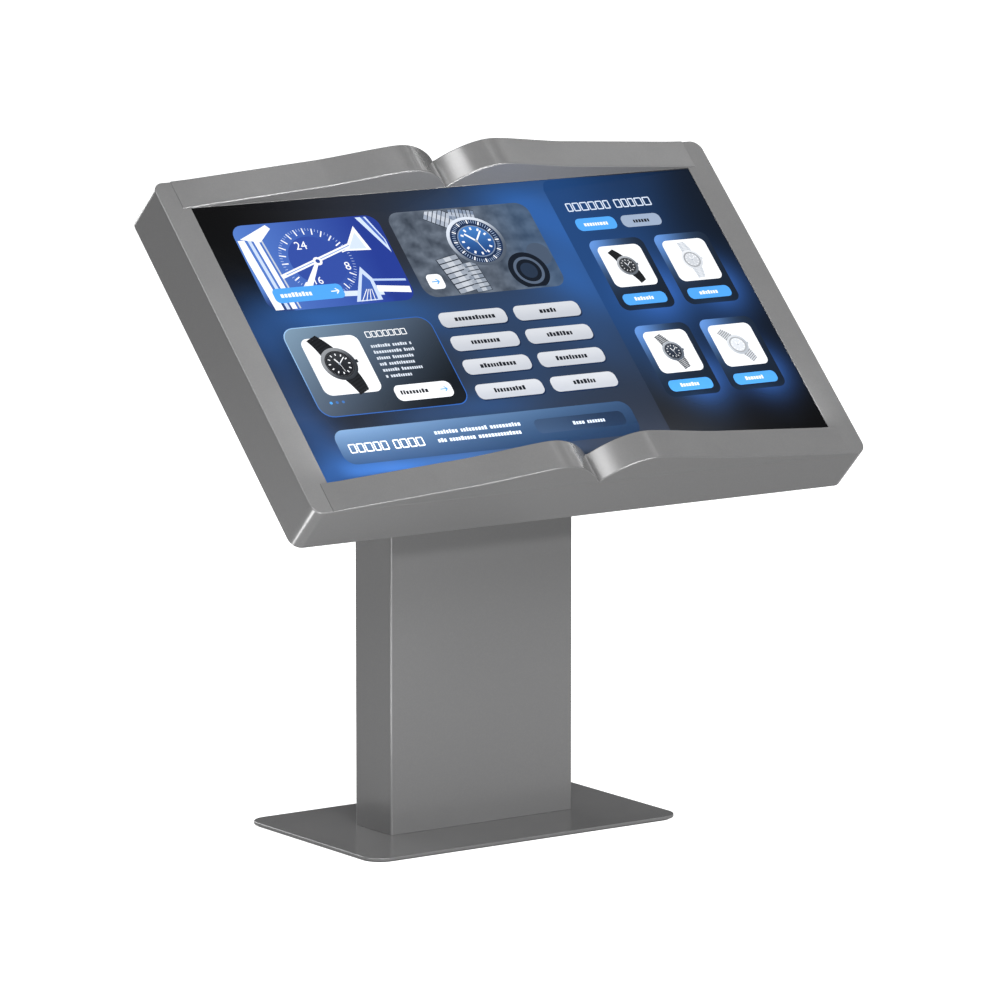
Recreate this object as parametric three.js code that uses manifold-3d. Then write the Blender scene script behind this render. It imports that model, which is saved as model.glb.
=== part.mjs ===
// Touchscreen kiosk: a display in a sheet-metal casing shaped like an open book, tilted on a flat pillar
// that holds the computer. Millimetres, +Z up, the user stands at -Y. The origin is on the floor, under the
// centre of the base. Pieces of the head are drawn in the head's own frame: x across, y up the screen and
// z out of the screen, with z = 0 on the face of the bezel.
import * as THREE from "three";
import { mergeVertices } from "three/addons/utils/BufferGeometryUtils.js";
import Module from "manifold-3d";

const wasm = await Module();
wasm.setup();

// ---- Driving dimensions ----

const GAP = 0.3; // left between pieces that touch
const SHEET = 2; // folded sheet steel

// Head
const SCREEN_W = 941.2;
const SCREEN_H = 529.4;
const BEZEL_SIDE = 47.75;
const BEZEL_END = 52.9; // above and below the screen
const HEAD_DEPTH = 86.3;
const HEAD_CORNER_R = 19;
const HEAD_EDGE_R = 2.5; // rolled edge between bezel and walls
const HEAD_TILT = Math.PI / 4;
const HEAD_Y = -138.07; // centre of the bezel's face
const HEAD_Z = 816.06;
const RETURN_W = 15; // inward flange that the back cover is screwed to
const BACK_SHEET = 1.5;

// Pages: two arched covers above the screen and two below, meeting at a spine in the middle
const PAGE_CREST_X = 88;
const PAGE_CREST = 49.4;
const PAGE_SHOULDER_X = 231;
const PAGE_SHOULDER = 27.6;
const PAGE_MARGIN = 15.35; // from the page's end to the casing's corner curve
const PAGE_TIP = 1;
const PAGE_SHEET = 2;

// Display
const GLASS_T = 4;
const GLASS_LAP = 10; // hidden under the bezel on each side
const GLASS_R = 3;
const GASKET_W = 6;
const CELL_T = 2;
const CELL_LAP = 6;
const BACKLIGHT_T = 14;
const BACKLIGHT_LAP = 11.4;

// Rails inside the head
const RAIL_X = 120;
const RAIL_W = 36;
const RAIL_SHEET = 3;
const RAIL_PAD = 90; // length of the thick pad under the pillar's bolts

// Cooling
const FAN_SIZE = 80;
const FAN_DEPTH = 25;
const FAN_BORE_R = 38;
const FAN_HUB_R = 16;
const FAN_X = 300;
const FAN_TOP = 110; // fan's centre below the casing's top edge
const FAN_BLADES = 7;
const FAN_BLADE_T = 1.6;
const FAN_BLADE_CHORD = 20;
const FAN_PITCH = 0.9;
const FAN_TIP_PLAY = 1.5;
const FAN_STATOR = 5;
const FAN_STRUT_R = 2;
const FAN_CORNER_R = 5;
const SLOT_W = 5;
const SLOT_L = 60;
const SLOT_PITCH = 12;
const INTAKE_SLOTS = 6;
const INTAKE_UP = 90; // intake's centre above the casing's bottom edge
const COVER_SCREWS_X = 330;
const SCREW_R = 1.85;
const SCREW_PLAY = 0.4;
const SCREW_HEAD_R = 4;
const SCREW_HEAD_T = 2.4;
const SCREW_END = 4; // past the flange

// Base
const MAT_T = 1.7;
const BASE_W = 587.3;
const BASE_D = 364;
const BASE_T = 5;
const BASE_CORNER_R = 34;
const MAT_INSET = 4;

// Pillar
const PILLAR_W = 345.6;
const PILLAR_D = 100.3;
const PILLAR_FOLD_R = 3;
const RETURN_REAR = 42; // rear faces on both sides of the opening
const LIP = 10.15; // depth of the folded edge of the opening
const FOOT_T = 6;
const BOLT_R = 4;
const BOLT_PLAY = 0.4;
const BOLT_HEAD_R = 7.5;
const BOLT_HEAD_T = 5.3;
const FOOT_BOLT_INSET = 24;
const CABLE_HOLE_R = 25;
const BRACKET_T = 4;
const BRACKET_BOLT_INSET = 34; // from the pillar's walls, up the slope

// Rear of the pillar
const SILL_TOP = 150;
const DOOR_H = 540;
const DOOR_T = 2;
const DOOR_LAP = 7;
const HINGE_L = 60;
const HINGE_END = 70; // hinge's centre from the door's end
const LEAF_W = 20;
const LEAF_T = 1.5;
const KNUCKLE_R = 4;
const HINGE_PIN_R = 2;
const LOCK_X_IN = 18; // lock's centre from the door's free edge
const LOCK_R = 8;
const PLUG_R = 6;
const CAM_L = 30;
const CAM_T = 2.5;

// Inlet, switch and button
const INLET_X = -60;
const INLET_Z = 82;
const INLET_W = 27.4;
const INLET_H = 51.4;
const INLET_DEPTH = 28;
const SOCKET_W = 24.4;
const SOCKET_H = 16.4;
const SOCKET_DEPTH = 18;
const SOCKET_DOWN = 13; // socket below and switch above the inlet's centre
const CONTACT_L = 12;
const ROCKER_W = 13.2;
const ROCKER_L = 18;
const ROCKER_PLAY = 1;
const POCKET_DEPTH = 10;
const ROCKER_REAR = 4; // from its pivot to its rear, its raised ends and its waist
const ROCKER_END = 3.9;
const ROCKER_WAIST = 2.7;
const ROCKER_SUNK = 2.65; // pivot below the inlet's face
const INLET_RIM = 4;
const INLET_RIM_T = 2;
const ROCKER_TILT = THREE.MathUtils.degToRad(8);
const BUTTON_X = 70;
const BUTTON_R = 7.4;
const BUTTON_TRAVEL = 2.5;
const BUTTON_BODY_R = 9.4;
const BUTTON_RIM_R = 11;
const BUTTON_RIM_T = 2.5;
const BUTTON_BODY_L = 25;
const BUTTON_BORE = 10;
const BUTTON_PROUD = 0.5;

// Equipment inside the pillar
const PLATE_W = 240;
const PLATE_FROM = 175;
const PLATE_TO = 670;
const PC_W = 180;
const PC_H = 130;
const PC_D = 45;
const PC_Z = 440;
const PC_CORNER_R = 4;
const PC_GROOVE_W = 6;
const PC_GROOVE_DEPTH = 4;
const PC_GROOVE_PITCH = 24;
const PC_GROOVE_END = 12;
const PSU_W = 160;
const PSU_H = 98;
const PSU_D = 38;
const PSU_Z = 230;
const TERMINALS_H = 12; // step along the top that holds the terminals
const TERMINALS_DEPTH = 8;
const TERMINALS_END = 10;
const CABLE_R = 3.5;

// ---- Values that follow ----

const HEAD_W = SCREEN_W + 2 * BEZEL_SIDE;
const HEAD_H = SCREEN_H + 2 * BEZEL_END;
const GLASS_FACE = -SHEET - GAP;
const GLASS_BACK = GLASS_FACE - GLASS_T;
const CELL_FACE = GLASS_BACK - GAP;
const CELL_BACK = CELL_FACE - CELL_T;
const TRAY_FACE = CELL_BACK - GAP;
const TRAY_BACK = TRAY_FACE - BACKLIGHT_T;
const COVER_BACK = -HEAD_DEPTH;
const COVER_FACE = COVER_BACK + BACK_SHEET;
const FLANGE_BACK = COVER_FACE + GAP;
const FLANGE_FACE = FLANGE_BACK + SHEET;
const RAIL_FRONT = TRAY_BACK - GAP;
const RAIL_BACK = FLANGE_FACE + GAP;
const RAIL_L = HEAD_H - 2 * SHEET - 2 * GAP;

const BASE_BOTTOM = MAT_T + GAP;
const BASE_TOP = BASE_BOTTOM + BASE_T;
const PILLAR_BOTTOM = BASE_TOP + GAP;
const FOOT_TOP = PILLAR_BOTTOM + FOOT_T;
const PILLAR_HALF_W = PILLAR_W / 2;
const PILLAR_HALF_D = PILLAR_D / 2;
const INNER_HALF_W = PILLAR_HALF_W - SHEET;
const INNER_HALF_D = PILLAR_HALF_D - SHEET;
const OPENING_HALF = PILLAR_HALF_W - RETURN_REAR;
const DOORWAY_HALF = OPENING_HALF - SHEET;
const PANEL_BACK = PILLAR_HALF_D - SHEET - GAP;
const PANEL_FRONT = PANEL_BACK - SHEET;
const PANEL_HALF_W = DOORWAY_HALF - GAP;
const UPPER_FROM = SILL_TOP + DOOR_H;

const DOOR_FRONT = PILLAR_HALF_D + GAP;
const DOOR_BACK = DOOR_FRONT + DOOR_T;
const DOOR_HALF_W = OPENING_HALF + DOOR_LAP;
const DOOR_FROM = SILL_TOP - DOOR_LAP;
const DOOR_TO = UPPER_FROM + DOOR_LAP;
const LEAF_FROM = DOOR_BACK + GAP;
const HINGE_X = -DOOR_HALF_W - KNUCKLE_R - 2;
const HINGE_Y = LEAF_FROM + KNUCKLE_R - GAP / 2;
const LOCK_X = DOOR_HALF_W - LOCK_X_IN;
const LOCK_Z = (DOOR_FROM + DOOR_TO) / 2;
const CAM_BACK = PILLAR_HALF_D - LIP - 1.3;

const SQUARE_TOP = HEAD_Z + HEAD_H / 2; // the pillar's height before its top is cut to the slope

const headPlace = new THREE.Matrix4().makeRotationX(HEAD_TILT).setPosition(0, HEAD_Y, HEAD_Z);

// Height up the screen of the pillar's line y, on the head's plane z.
const slopeAt = (y, z) => (y - HEAD_Y + z * Math.sin(HEAD_TILT)) / Math.cos(HEAD_TILT);
const BRACKET_Z = COVER_BACK - GAP - BRACKET_T;
const BRACKET_LOW = slopeAt(-INNER_HALF_D, BRACKET_Z);
const BRACKET_HIGH = slopeAt(INNER_HALF_D, BRACKET_Z);
const BRACKET_MID = (BRACKET_LOW + BRACKET_HIGH) / 2;
const bracketBolts = [
  [-RAIL_X, BRACKET_LOW + BRACKET_BOLT_INSET],
  [RAIL_X, BRACKET_LOW + BRACKET_BOLT_INSET],
  [-RAIL_X, BRACKET_HIGH - BRACKET_BOLT_INSET],
  [RAIL_X, BRACKET_HIGH - BRACKET_BOLT_INSET],
];
const footBolts = [
  [-INNER_HALF_W + FOOT_BOLT_INSET, -INNER_HALF_D + FOOT_BOLT_INSET],
  [INNER_HALF_W - FOOT_BOLT_INSET, -INNER_HALF_D + FOOT_BOLT_INSET],
  [-INNER_HALF_W + FOOT_BOLT_INSET, INNER_HALF_D - FOOT_BOLT_INSET],
  [INNER_HALF_W - FOOT_BOLT_INSET, INNER_HALF_D - FOOT_BOLT_INSET],
];
const SCREW_Y = HEAD_H / 2 - SHEET - RETURN_W / 2;
const coverScrews = [-COVER_SCREWS_X, 0, COVER_SCREWS_X].flatMap((x) => [
  [x, -SCREW_Y],
  [x, SCREW_Y],
]);
const FAN_Y = HEAD_H / 2 - FAN_TOP;

// ---- Solids ----

function solid(geometry) {
  const bare = geometry.clone();
  bare.deleteAttribute("normal");
  bare.deleteAttribute("uv");
  const merged = mergeVertices(bare);
  return new wasm.Manifold(
    new wasm.Mesh({
      numProp: 3,
      vertProperties: merged.attributes.position.array,
      triVerts: new Uint32Array(merged.index.array),
    }),
  );
}

function boxGeometry([x0, x1], [y0, y1], [z0, z1]) {
  const box = new THREE.BoxGeometry(x1 - x0, y1 - y0, z1 - z0);
  return box.translate((x0 + x1) / 2, (y0 + y1) / 2, (z0 + z1) / 2);
}

const block = (x, y, z) => solid(boxGeometry(x, y, z));

function roundedRect(width, height, radius, cx = 0, cy = 0) {
  const x = width / 2 - radius;
  const y = height / 2 - radius;
  const shape = new THREE.Shape();
  shape.absarc(cx + x, cy + y, radius, 0, Math.PI / 2);
  shape.absarc(cx - x, cy + y, radius, Math.PI / 2, Math.PI);
  shape.absarc(cx - x, cy - y, radius, Math.PI, 1.5 * Math.PI);
  shape.absarc(cx + x, cy - y, radius, 1.5 * Math.PI, 2 * Math.PI);
  return shape;
}

// A shape in x and y, raised from z0 to z1.
function prism(shape, [z0, z1], curveSegments = 6) {
  const options = { depth: z1 - z0, bevelEnabled: false, curveSegments };
  return solid(new THREE.ExtrudeGeometry(shape, options).translate(0, 0, z0));
}

// A round bar between two points.
function bar(radius, from, to, sides = 16) {
  const start = new THREE.Vector3(...from);
  const run = new THREE.Vector3(...to).sub(start);
  const upright = new THREE.Vector3(0, 1, 0);
  const geometry = new THREE.CylinderGeometry(radius, radius, run.length(), sides);
  geometry.applyQuaternion(new THREE.Quaternion().setFromUnitVectors(upright, run.clone().normalize()));
  geometry.translate(...start.addScaledVector(run, 0.5).toArray());
  return solid(geometry);
}

const joined = (first, ...others) => others.reduce((body, other) => body.add(other), first);
const cut = (body, ...tools) => tools.reduce((left, tool) => left.subtract(tool), body);

// ---- Scene graph ----

const finishes = {
  powder_coat: { color: 0x85868a, roughness: 0.45, metalness: 0.55 },
  zinc_steel: { color: 0xa9abad, roughness: 0.4, metalness: 0.9 },
  chrome: { color: 0xd8d9db, roughness: 0.15, metalness: 1 },
  black_plastic: { color: 0x1b1c1e, roughness: 0.5, metalness: 0 },
  rubber: { color: 0x141414, roughness: 0.85, metalness: 0 },
  glass: { color: 0x10131a, roughness: 0.05, metalness: 0.1 },
  display: { color: 0x123a78, roughness: 0.3, metalness: 0 },
  aluminium: { color: 0xb8babc, roughness: 0.35, metalness: 0.9 },
  circuit_board: { color: 0x1e5a35, roughness: 0.5, metalness: 0.1 },
};

const kiosk = new THREE.Group();
const head = new THREE.Group();
head.applyMatrix4(headPlace);
kiosk.add(head);

function add(group, name, body, finish) {
  const { vertProperties, triVerts } = body.getMesh();
  const geometry = new THREE.BufferGeometry();
  geometry.setAttribute("position", new THREE.BufferAttribute(vertProperties, 3));
  geometry.setIndex(new THREE.BufferAttribute(triVerts, 1));
  geometry.computeVertexNormals();
  const mesh = new THREE.Mesh(geometry, new THREE.MeshStandardMaterial(finishes[finish]));
  mesh.name = name;
  group.add(mesh);
  return mesh;
}

// ---- Base and pillar ----

function buildBase() {
  const mat = roundedRect(BASE_W - 2 * MAT_INSET, BASE_D - 2 * MAT_INSET, BASE_CORNER_R - MAT_INSET / 2);
  add(kiosk, "base_mat", prism(mat, [0, MAT_T], 4), "rubber");
  const threads = footBolts.map(([x, y]) =>
    bar(BOLT_R + BOLT_PLAY, [x, y, BASE_BOTTOM - 1], [x, y, BASE_TOP + 1]),
  );
  const plate = prism(roundedRect(BASE_W, BASE_D, BASE_CORNER_R), [BASE_BOTTOM, BASE_TOP], 5);
  add(kiosk, "base_plate", cut(plate, ...threads), "powder_coat");
}

// The space inside the pillar's walls, between two heights, for plates that fit there.
function insidePillar(height) {
  const plan = roundedRect(2 * (INNER_HALF_W - GAP), 2 * (INNER_HALF_D - GAP), PILLAR_FOLD_R);
  const lips = [-1, 1].map((side) => {
    const at = side * (DOORWAY_HALF + SHEET / 2);
    const half = SHEET / 2 + GAP;
    return block([at - half, at + half], [PILLAR_HALF_D - LIP - GAP, PILLAR_D], [-1, 2 * SQUARE_TOP]);
  });
  return cut(prism(plan, height, 3), ...lips);
}

function buildFoot() {
  const holes = footBolts.map(([bx, by]) => bar(BOLT_R + BOLT_PLAY, [bx, by, 0], [bx, by, FOOT_TOP + 1]));
  const flange = cut(insidePillar([PILLAR_BOTTOM, FOOT_TOP]), ...holes);
  add(kiosk, "foot_flange", flange, "zinc_steel");
  footBolts.forEach(([bx, by], i) => {
    const from = FOOT_TOP + GAP;
    const shank = bar(BOLT_R, [bx, by, BASE_BOTTOM + GAP], [bx, by, from + 1], 16);
    const hex = bar(BOLT_HEAD_R, [bx, by, from], [bx, by, from + BOLT_HEAD_T], 6);
    add(kiosk, `foot_bolt_${i + 1}`, joined(hex, shank), "zinc_steel");
  });
}

// Everything on the head's side of its plane z, as a block to cut the pillar's top with.
function aboveSlope(z) {
  const reach = 2 * HEAD_H;
  return solid(boxGeometry([-reach, reach], [-reach, reach], [z, z + reach]).applyMatrix4(headPlace));
}

function buildPillarShell() {
  const height = [PILLAR_BOTTOM, SQUARE_TOP];
  const past = [PILLAR_BOTTOM - 1, SQUARE_TOP + 1];
  const outer = prism(roundedRect(PILLAR_W, PILLAR_D, PILLAR_FOLD_R), height, 4);
  const inner = prism(roundedRect(2 * INNER_HALF_W, 2 * INNER_HALF_D, PILLAR_FOLD_R - SHEET), past, 4);
  const opening = block([-OPENING_HALF, OPENING_HALF], [0, PILLAR_D], past);
  const lips = [-1, 1].map((side) => {
    const x = [side * DOORWAY_HALF, side * OPENING_HALF].sort((a, b) => a - b);
    return block(x, [PILLAR_HALF_D - LIP, PILLAR_HALF_D], height);
  });
  const walls = joined(cut(outer, inner, opening), ...lips);
  add(kiosk, "pillar_shell", cut(walls, aboveSlope(COVER_BACK - GAP)), "powder_coat");
}

function buildRearPanels() {
  const x = [-PANEL_HALF_W, PANEL_HALF_W];
  const y = [PANEL_FRONT, PANEL_BACK];
  const past = [PANEL_FRONT - 1, PANEL_BACK + 1];
  const inletHole = block(
    [INLET_X - INLET_W / 2 - GAP, INLET_X + INLET_W / 2 + GAP],
    past,
    [INLET_Z - INLET_H / 2 - GAP, INLET_Z + INLET_H / 2 + GAP],
  );
  const buttonHole = bar(BUTTON_BODY_R + GAP, [BUTTON_X, past[0], INLET_Z], [BUTTON_X, past[1], INLET_Z]);
  const sill = block(x, y, [FOOT_TOP + GAP, SILL_TOP]);
  add(kiosk, "rear_sill", cut(sill, inletHole, buttonHole), "powder_coat");
  const upper = cut(block(x, y, [UPPER_FROM, SQUARE_TOP]), aboveSlope(COVER_BACK - GAP));
  add(kiosk, "rear_upper_panel", upper, "powder_coat");
}

// Sloping plate inside the pillar's top that carries the head.
function buildHeadBracket() {
  const behind = block([-PILLAR_W, PILLAR_W], [PANEL_FRONT - GAP, PILLAR_D], [0, 2 * SQUARE_TOP]);
  const reach = HEAD_H;
  const z = [BRACKET_Z, COVER_BACK - GAP];
  const slab = solid(boxGeometry([-reach, reach], [-reach, reach], z).applyMatrix4(headPlace));
  const holes = bracketBolts.map(([x, y]) => headBar(BOLT_R + BOLT_PLAY, x, y, [z[0] - 1, z[1] + 1]));
  const cableHole = headBar(CABLE_HOLE_R, 0, BRACKET_MID, [z[0] - 1, z[1] + 1], 20);
  const plate = slab.intersect(insidePillar([0, SQUARE_TOP]));
  add(kiosk, "head_bracket", cut(plate, behind, ...holes, cableHole), "zinc_steel");
  bracketBolts.forEach(([x, y], i) => {
    const under = BRACKET_Z - GAP;
    const hex = bar(BOLT_HEAD_R, [x, y, under - BOLT_HEAD_T], [x, y, under], 6);
    const shank = bar(BOLT_R, [x, y, under - 1], [x, y, RAIL_BACK + RAIL_SHEET + BOLT_HEAD_T], 16);
    add(head, `head_bolt_${i + 1}`, joined(hex, shank), "zinc_steel");
  });
}

// A bar square to the screen at x, y, given in the head's frame and returned in the kiosk's.
function headBar(radius, x, y, [z0, z1], sides = 16) {
  const geometry = new THREE.CylinderGeometry(radius, radius, z1 - z0, sides);
  geometry.rotateX(Math.PI / 2).translate(x, y, (z0 + z1) / 2);
  return solid(geometry.applyMatrix4(headPlace));
}

// ---- Service door, hinges and lock ----

function buildDoor() {
  const past = [DOOR_FRONT - 1, DOOR_BACK + 1];
  const plate = block([-DOOR_HALF_W, DOOR_HALF_W], [DOOR_FRONT, DOOR_BACK], [DOOR_FROM, DOOR_TO]);
  const lockHole = bar(LOCK_R + GAP, [LOCK_X, past[0], LOCK_Z], [LOCK_X, past[1], LOCK_Z]);
  const louvres = [DOOR_FROM + HINGE_END, DOOR_TO - HINGE_END].flatMap((z) =>
    [-2, -1, 0, 1, 2].map((i) => {
      const at = z + i * SLOT_PITCH;
      return block([-SLOT_L, SLOT_L], past, [at - SLOT_W / 2, at + SLOT_W / 2]);
    }),
  );
  add(kiosk, "service_door", cut(plate, lockHole, ...louvres), "powder_coat");
}

// One leaf of a hinge: a plate with knuckles on the given spans, each a ring round the pin.
function hingeLeaf(plate, link, spans) {
  const knuckles = spans.map(([z0, z1]) => {
    const ring = bar(KNUCKLE_R, [HINGE_X, HINGE_Y, z0], [HINGE_X, HINGE_Y, z1], 20);
    return ring.add(block(link, [plate.y[0], plate.y[0] + LEAF_T], [z0, z1]));
  });
  const [low, high] = plate.z;
  const hole = bar(HINGE_PIN_R + GAP, [HINGE_X, HINGE_Y, low - 1], [HINGE_X, HINGE_Y, high + 1], 20);
  return cut(joined(block(plate.x, plate.y, plate.z), ...knuckles), hole);
}

function buildHinge(name, z) {
  const low = z - HINGE_L / 2;
  const high = z + HINGE_L / 2;
  const third = HINGE_L / 3;
  const clear = KNUCKLE_R + 1;
  const doorPlate = {
    x: [HINGE_X + clear, HINGE_X + clear + LEAF_W],
    y: [LEAF_FROM, LEAF_FROM + LEAF_T],
    z: [low, high],
  };
  const framePlate = {
    x: [HINGE_X - clear - LEAF_W, HINGE_X - clear],
    y: [PILLAR_HALF_D + GAP, LEAF_FROM + LEAF_T],
    z: [low, high],
  };
  const frameLink = { ...framePlate, y: [LEAF_FROM, LEAF_FROM + LEAF_T] };
  const middle = [[low + third + GAP, high - third - GAP]];
  const ends = [
    [low, low + third],
    [high - third, high],
  ];
  const doorLeaf = hingeLeaf(doorPlate, [HINGE_X, HINGE_X + clear + 1], middle);
  const knuckled = hingeLeaf(frameLink, [HINGE_X - clear - 1, HINGE_X], ends);
  const frameLeaf = knuckled.add(block(framePlate.x, framePlate.y, framePlate.z));
  const pin = bar(HINGE_PIN_R, [HINGE_X, HINGE_Y, low - 1], [HINGE_X, HINGE_Y, high + 1], 16);
  const button = bar(HINGE_PIN_R + 1, [HINGE_X, HINGE_Y, high + GAP], [HINGE_X, HINGE_Y, high + 2], 16);
  add(kiosk, `${name}_hinge_frame_leaf`, frameLeaf, "zinc_steel");
  add(kiosk, `${name}_hinge_door_leaf`, doorLeaf, "zinc_steel");
  add(kiosk, `${name}_hinge_pin`, pin.add(button), "zinc_steel");
}

function buildLock() {
  const rimFrom = DOOR_BACK + GAP;
  const rimTo = rimFrom + 2;
  const at = (y) => [LOCK_X, y, LOCK_Z];
  const rim = bar(LOCK_R + 2, at(rimFrom), at(rimTo), 20);
  const barrel = bar(LOCK_R, at(CAM_BACK + GAP), at(rimTo), 20);
  const bore = bar(PLUG_R + GAP, at(CAM_BACK - 1), at(rimTo + 1), 20);
  add(kiosk, "lock_body", cut(joined(rim, barrel), bore), "chrome");
  const plug = bar(PLUG_R, at(CAM_BACK - CAM_T), at(rimTo), 20);
  const keyway = block([LOCK_X - 0.8, LOCK_X + 0.8], [rimTo - 4, rimTo + 1], [LOCK_Z - 4, LOCK_Z + 4]);
  const armX = [LOCK_X - PLUG_R, LOCK_X + PLUG_R];
  const arm = block(armX, [CAM_BACK - CAM_T, CAM_BACK], [LOCK_Z - CAM_L, LOCK_Z]);
  add(kiosk, "lock_cam", joined(cut(plug, keyway), arm), "chrome");
}

// ---- Inlet, mains switch and power button ----

function buildInlet() {
  const face = PANEL_BACK + GAP + INLET_RIM_T;
  const x = (half) => [INLET_X - half, INLET_X + half];
  const z = (centre, half) => [centre - half, centre + half];
  const flangeZ = z(INLET_Z, INLET_H / 2 + INLET_RIM);
  const flange = block(x(INLET_W / 2 + INLET_RIM), [PANEL_BACK + GAP, face], flangeZ);
  const body = block(x(INLET_W / 2), [face - INLET_DEPTH, face], z(INLET_Z, INLET_H / 2));
  const socketZ = INLET_Z - SOCKET_DOWN;
  const rockerZ = INLET_Z + SOCKET_DOWN;
  const floor = face - SOCKET_DEPTH;
  const socket = block(x(SOCKET_W / 2), [floor, face + 1], z(socketZ, SOCKET_H / 2));
  const pocketZ = z(rockerZ, ROCKER_L / 2 + ROCKER_PLAY);
  const pocket = block(x(ROCKER_W / 2 + GAP), [face - POCKET_DEPTH, face + 1], pocketZ);
  const contacts = [
    [-7, -1],
    [0, 3],
    [7, -1],
  ].map(([dx, dz]) =>
    block(
      [INLET_X + dx - 1, INLET_X + dx + 1],
      [floor - 1, floor + CONTACT_L],
      [socketZ + dz - 2, socketZ + dz + 2],
    ),
  );
  add(kiosk, "mains_inlet", joined(cut(flange.add(body), socket, pocket), ...contacts), "black_plastic");

  // The rocker rests with its lower end pressed in, turned about its middle.
  const profile = new THREE.Shape();
  profile.moveTo(-ROCKER_L / 2, -ROCKER_REAR);
  profile.lineTo(ROCKER_L / 2, -ROCKER_REAR);
  profile.lineTo(ROCKER_L / 2, ROCKER_END);
  profile.lineTo(0, ROCKER_WAIST);
  profile.lineTo(-ROCKER_L / 2, ROCKER_END);
  const rocker = new THREE.ExtrudeGeometry(profile, { depth: ROCKER_W, bevelEnabled: false });
  rocker.translate(0, 0, -ROCKER_W / 2).rotateZ(-ROCKER_TILT).rotateY(Math.PI / 2);
  rocker.translate(INLET_X, face - ROCKER_SUNK, rockerZ);
  add(kiosk, "mains_switch", solid(rocker), "black_plastic");
}

function buildButton() {
  const face = PANEL_BACK + GAP + BUTTON_RIM_T;
  const at = (y) => [BUTTON_X, y, INLET_Z];
  const rim = bar(BUTTON_RIM_R, at(PANEL_BACK + GAP), at(face), 20);
  const body = bar(BUTTON_BODY_R, at(face - BUTTON_BODY_L), at(face), 20);
  const bore = bar(BUTTON_R + GAP, at(face - BUTTON_BORE), at(face + 1), 20);
  add(kiosk, "power_button_housing", cut(joined(rim, body), bore), "chrome");
  const floor = face - BUTTON_BORE + GAP + BUTTON_TRAVEL;
  add(kiosk, "power_button", bar(BUTTON_R, at(floor), at(face + BUTTON_PROUD), 20), "chrome");
}

// ---- Equipment inside the pillar ----

const MOUNT_FACE = -INNER_HALF_D + GAP + SHEET;
const EQUIPMENT_FACE = MOUNT_FACE + GAP;

function buildEquipment() {
  const plateX = [-PLATE_W / 2, PLATE_W / 2];
  const plate = block(plateX, [MOUNT_FACE - SHEET, MOUNT_FACE], [PLATE_FROM, PLATE_TO]);
  add(kiosk, "equipment_plate", plate, "zinc_steel");

  const pcBack = EQUIPMENT_FACE + PC_D;
  const pcOptions = { depth: PC_D, bevelEnabled: false, curveSegments: 3 };
  const pc = new THREE.ExtrudeGeometry(roundedRect(PC_W, PC_H, PC_CORNER_R), pcOptions);
  pc.rotateX(Math.PI / 2).translate(0, pcBack, PC_Z + PC_H / 2);
  const grooves = [-3, -2, -1, 0, 1, 2, 3].map((i) => {
    const x = i * PC_GROOVE_PITCH;
    const z = [PC_Z + PC_GROOVE_END, PC_Z + PC_H - PC_GROOVE_END];
    return block([x - PC_GROOVE_W / 2, x + PC_GROOVE_W / 2], [pcBack - PC_GROOVE_DEPTH, pcBack + 1], z);
  });
  add(kiosk, "mini_pc", cut(solid(pc), ...grooves), "aluminium");

  const psuX = PSU_W / 2;
  const psuTop = PSU_Z + PSU_H;
  const psuBack = EQUIPMENT_FACE + PSU_D;
  const psu = block([-psuX, psuX], [EQUIPMENT_FACE, psuBack], [PSU_Z, psuTop]);
  const terminals = block(
    [-psuX + TERMINALS_END, psuX - TERMINALS_END],
    [psuBack - TERMINALS_DEPTH, psuBack + 1],
    [psuTop - TERMINALS_H, psuTop + 1],
  );
  add(kiosk, "power_supply", cut(psu, terminals), "aluminium");
}

const headPoint = (x, y, z) => new THREE.Vector3(x, y, z).applyMatrix4(headPlace);

function buildCable(name, points, steps) {
  const section = new THREE.Shape();
  section.absarc(0, 0, CABLE_R, 0, 2 * Math.PI);
  const extrudePath = new THREE.CatmullRomCurve3(points, false, "centripetal");
  const tube = new THREE.ExtrudeGeometry(section, { steps, curveSegments: 4, extrudePath });
  add(kiosk, name, solid(tube), "rubber");
}

// ---- Head ----

function buildFrontShell() {
  const bevel = {
    depth: HEAD_DEPTH,
    bevelThickness: HEAD_EDGE_R,
    bevelSize: HEAD_EDGE_R,
    bevelOffset: -HEAD_EDGE_R,
    bevelSegments: 2,
    curveSegments: 5,
  };
  const outline = new THREE.ExtrudeGeometry(roundedRect(HEAD_W, HEAD_H, HEAD_CORNER_R), bevel);
  outline.translate(0, 0, -HEAD_DEPTH - HEAD_EDGE_R);
  const behind = block([-HEAD_W, HEAD_W], [-HEAD_H, HEAD_H], [-2 * HEAD_DEPTH, -HEAD_DEPTH]);
  const innerW = HEAD_W - 2 * SHEET;
  const innerH = HEAD_H - 2 * SHEET;
  const inner = roundedRect(innerW, innerH, HEAD_CORNER_R - SHEET);
  const within = roundedRect(innerW - 2 * RETURN_W, innerH - 2 * RETURN_W, SHEET);
  const cavity = prism(inner, [FLANGE_FACE, -SHEET], 5);
  const mouth = prism(within, [FLANGE_BACK - 1, FLANGE_FACE + 1], 2);
  const rebate = prism(inner, [-HEAD_DEPTH - 1, FLANGE_BACK], 5);
  const window = block([-SCREEN_W / 2, SCREEN_W / 2], [-SCREEN_H / 2, SCREEN_H / 2], [-SHEET - 1, 1]);
  const holes = coverScrews.map(([x, y]) =>
    bar(SCREW_R + SCREW_PLAY, [x, y, FLANGE_BACK - 1], [x, y, FLANGE_FACE + 1], 12),
  );
  const shell = cut(solid(outline), behind, cavity, mouth, rebate, window, ...holes);
  add(head, "front_shell", shell, "powder_coat");
}

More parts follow.
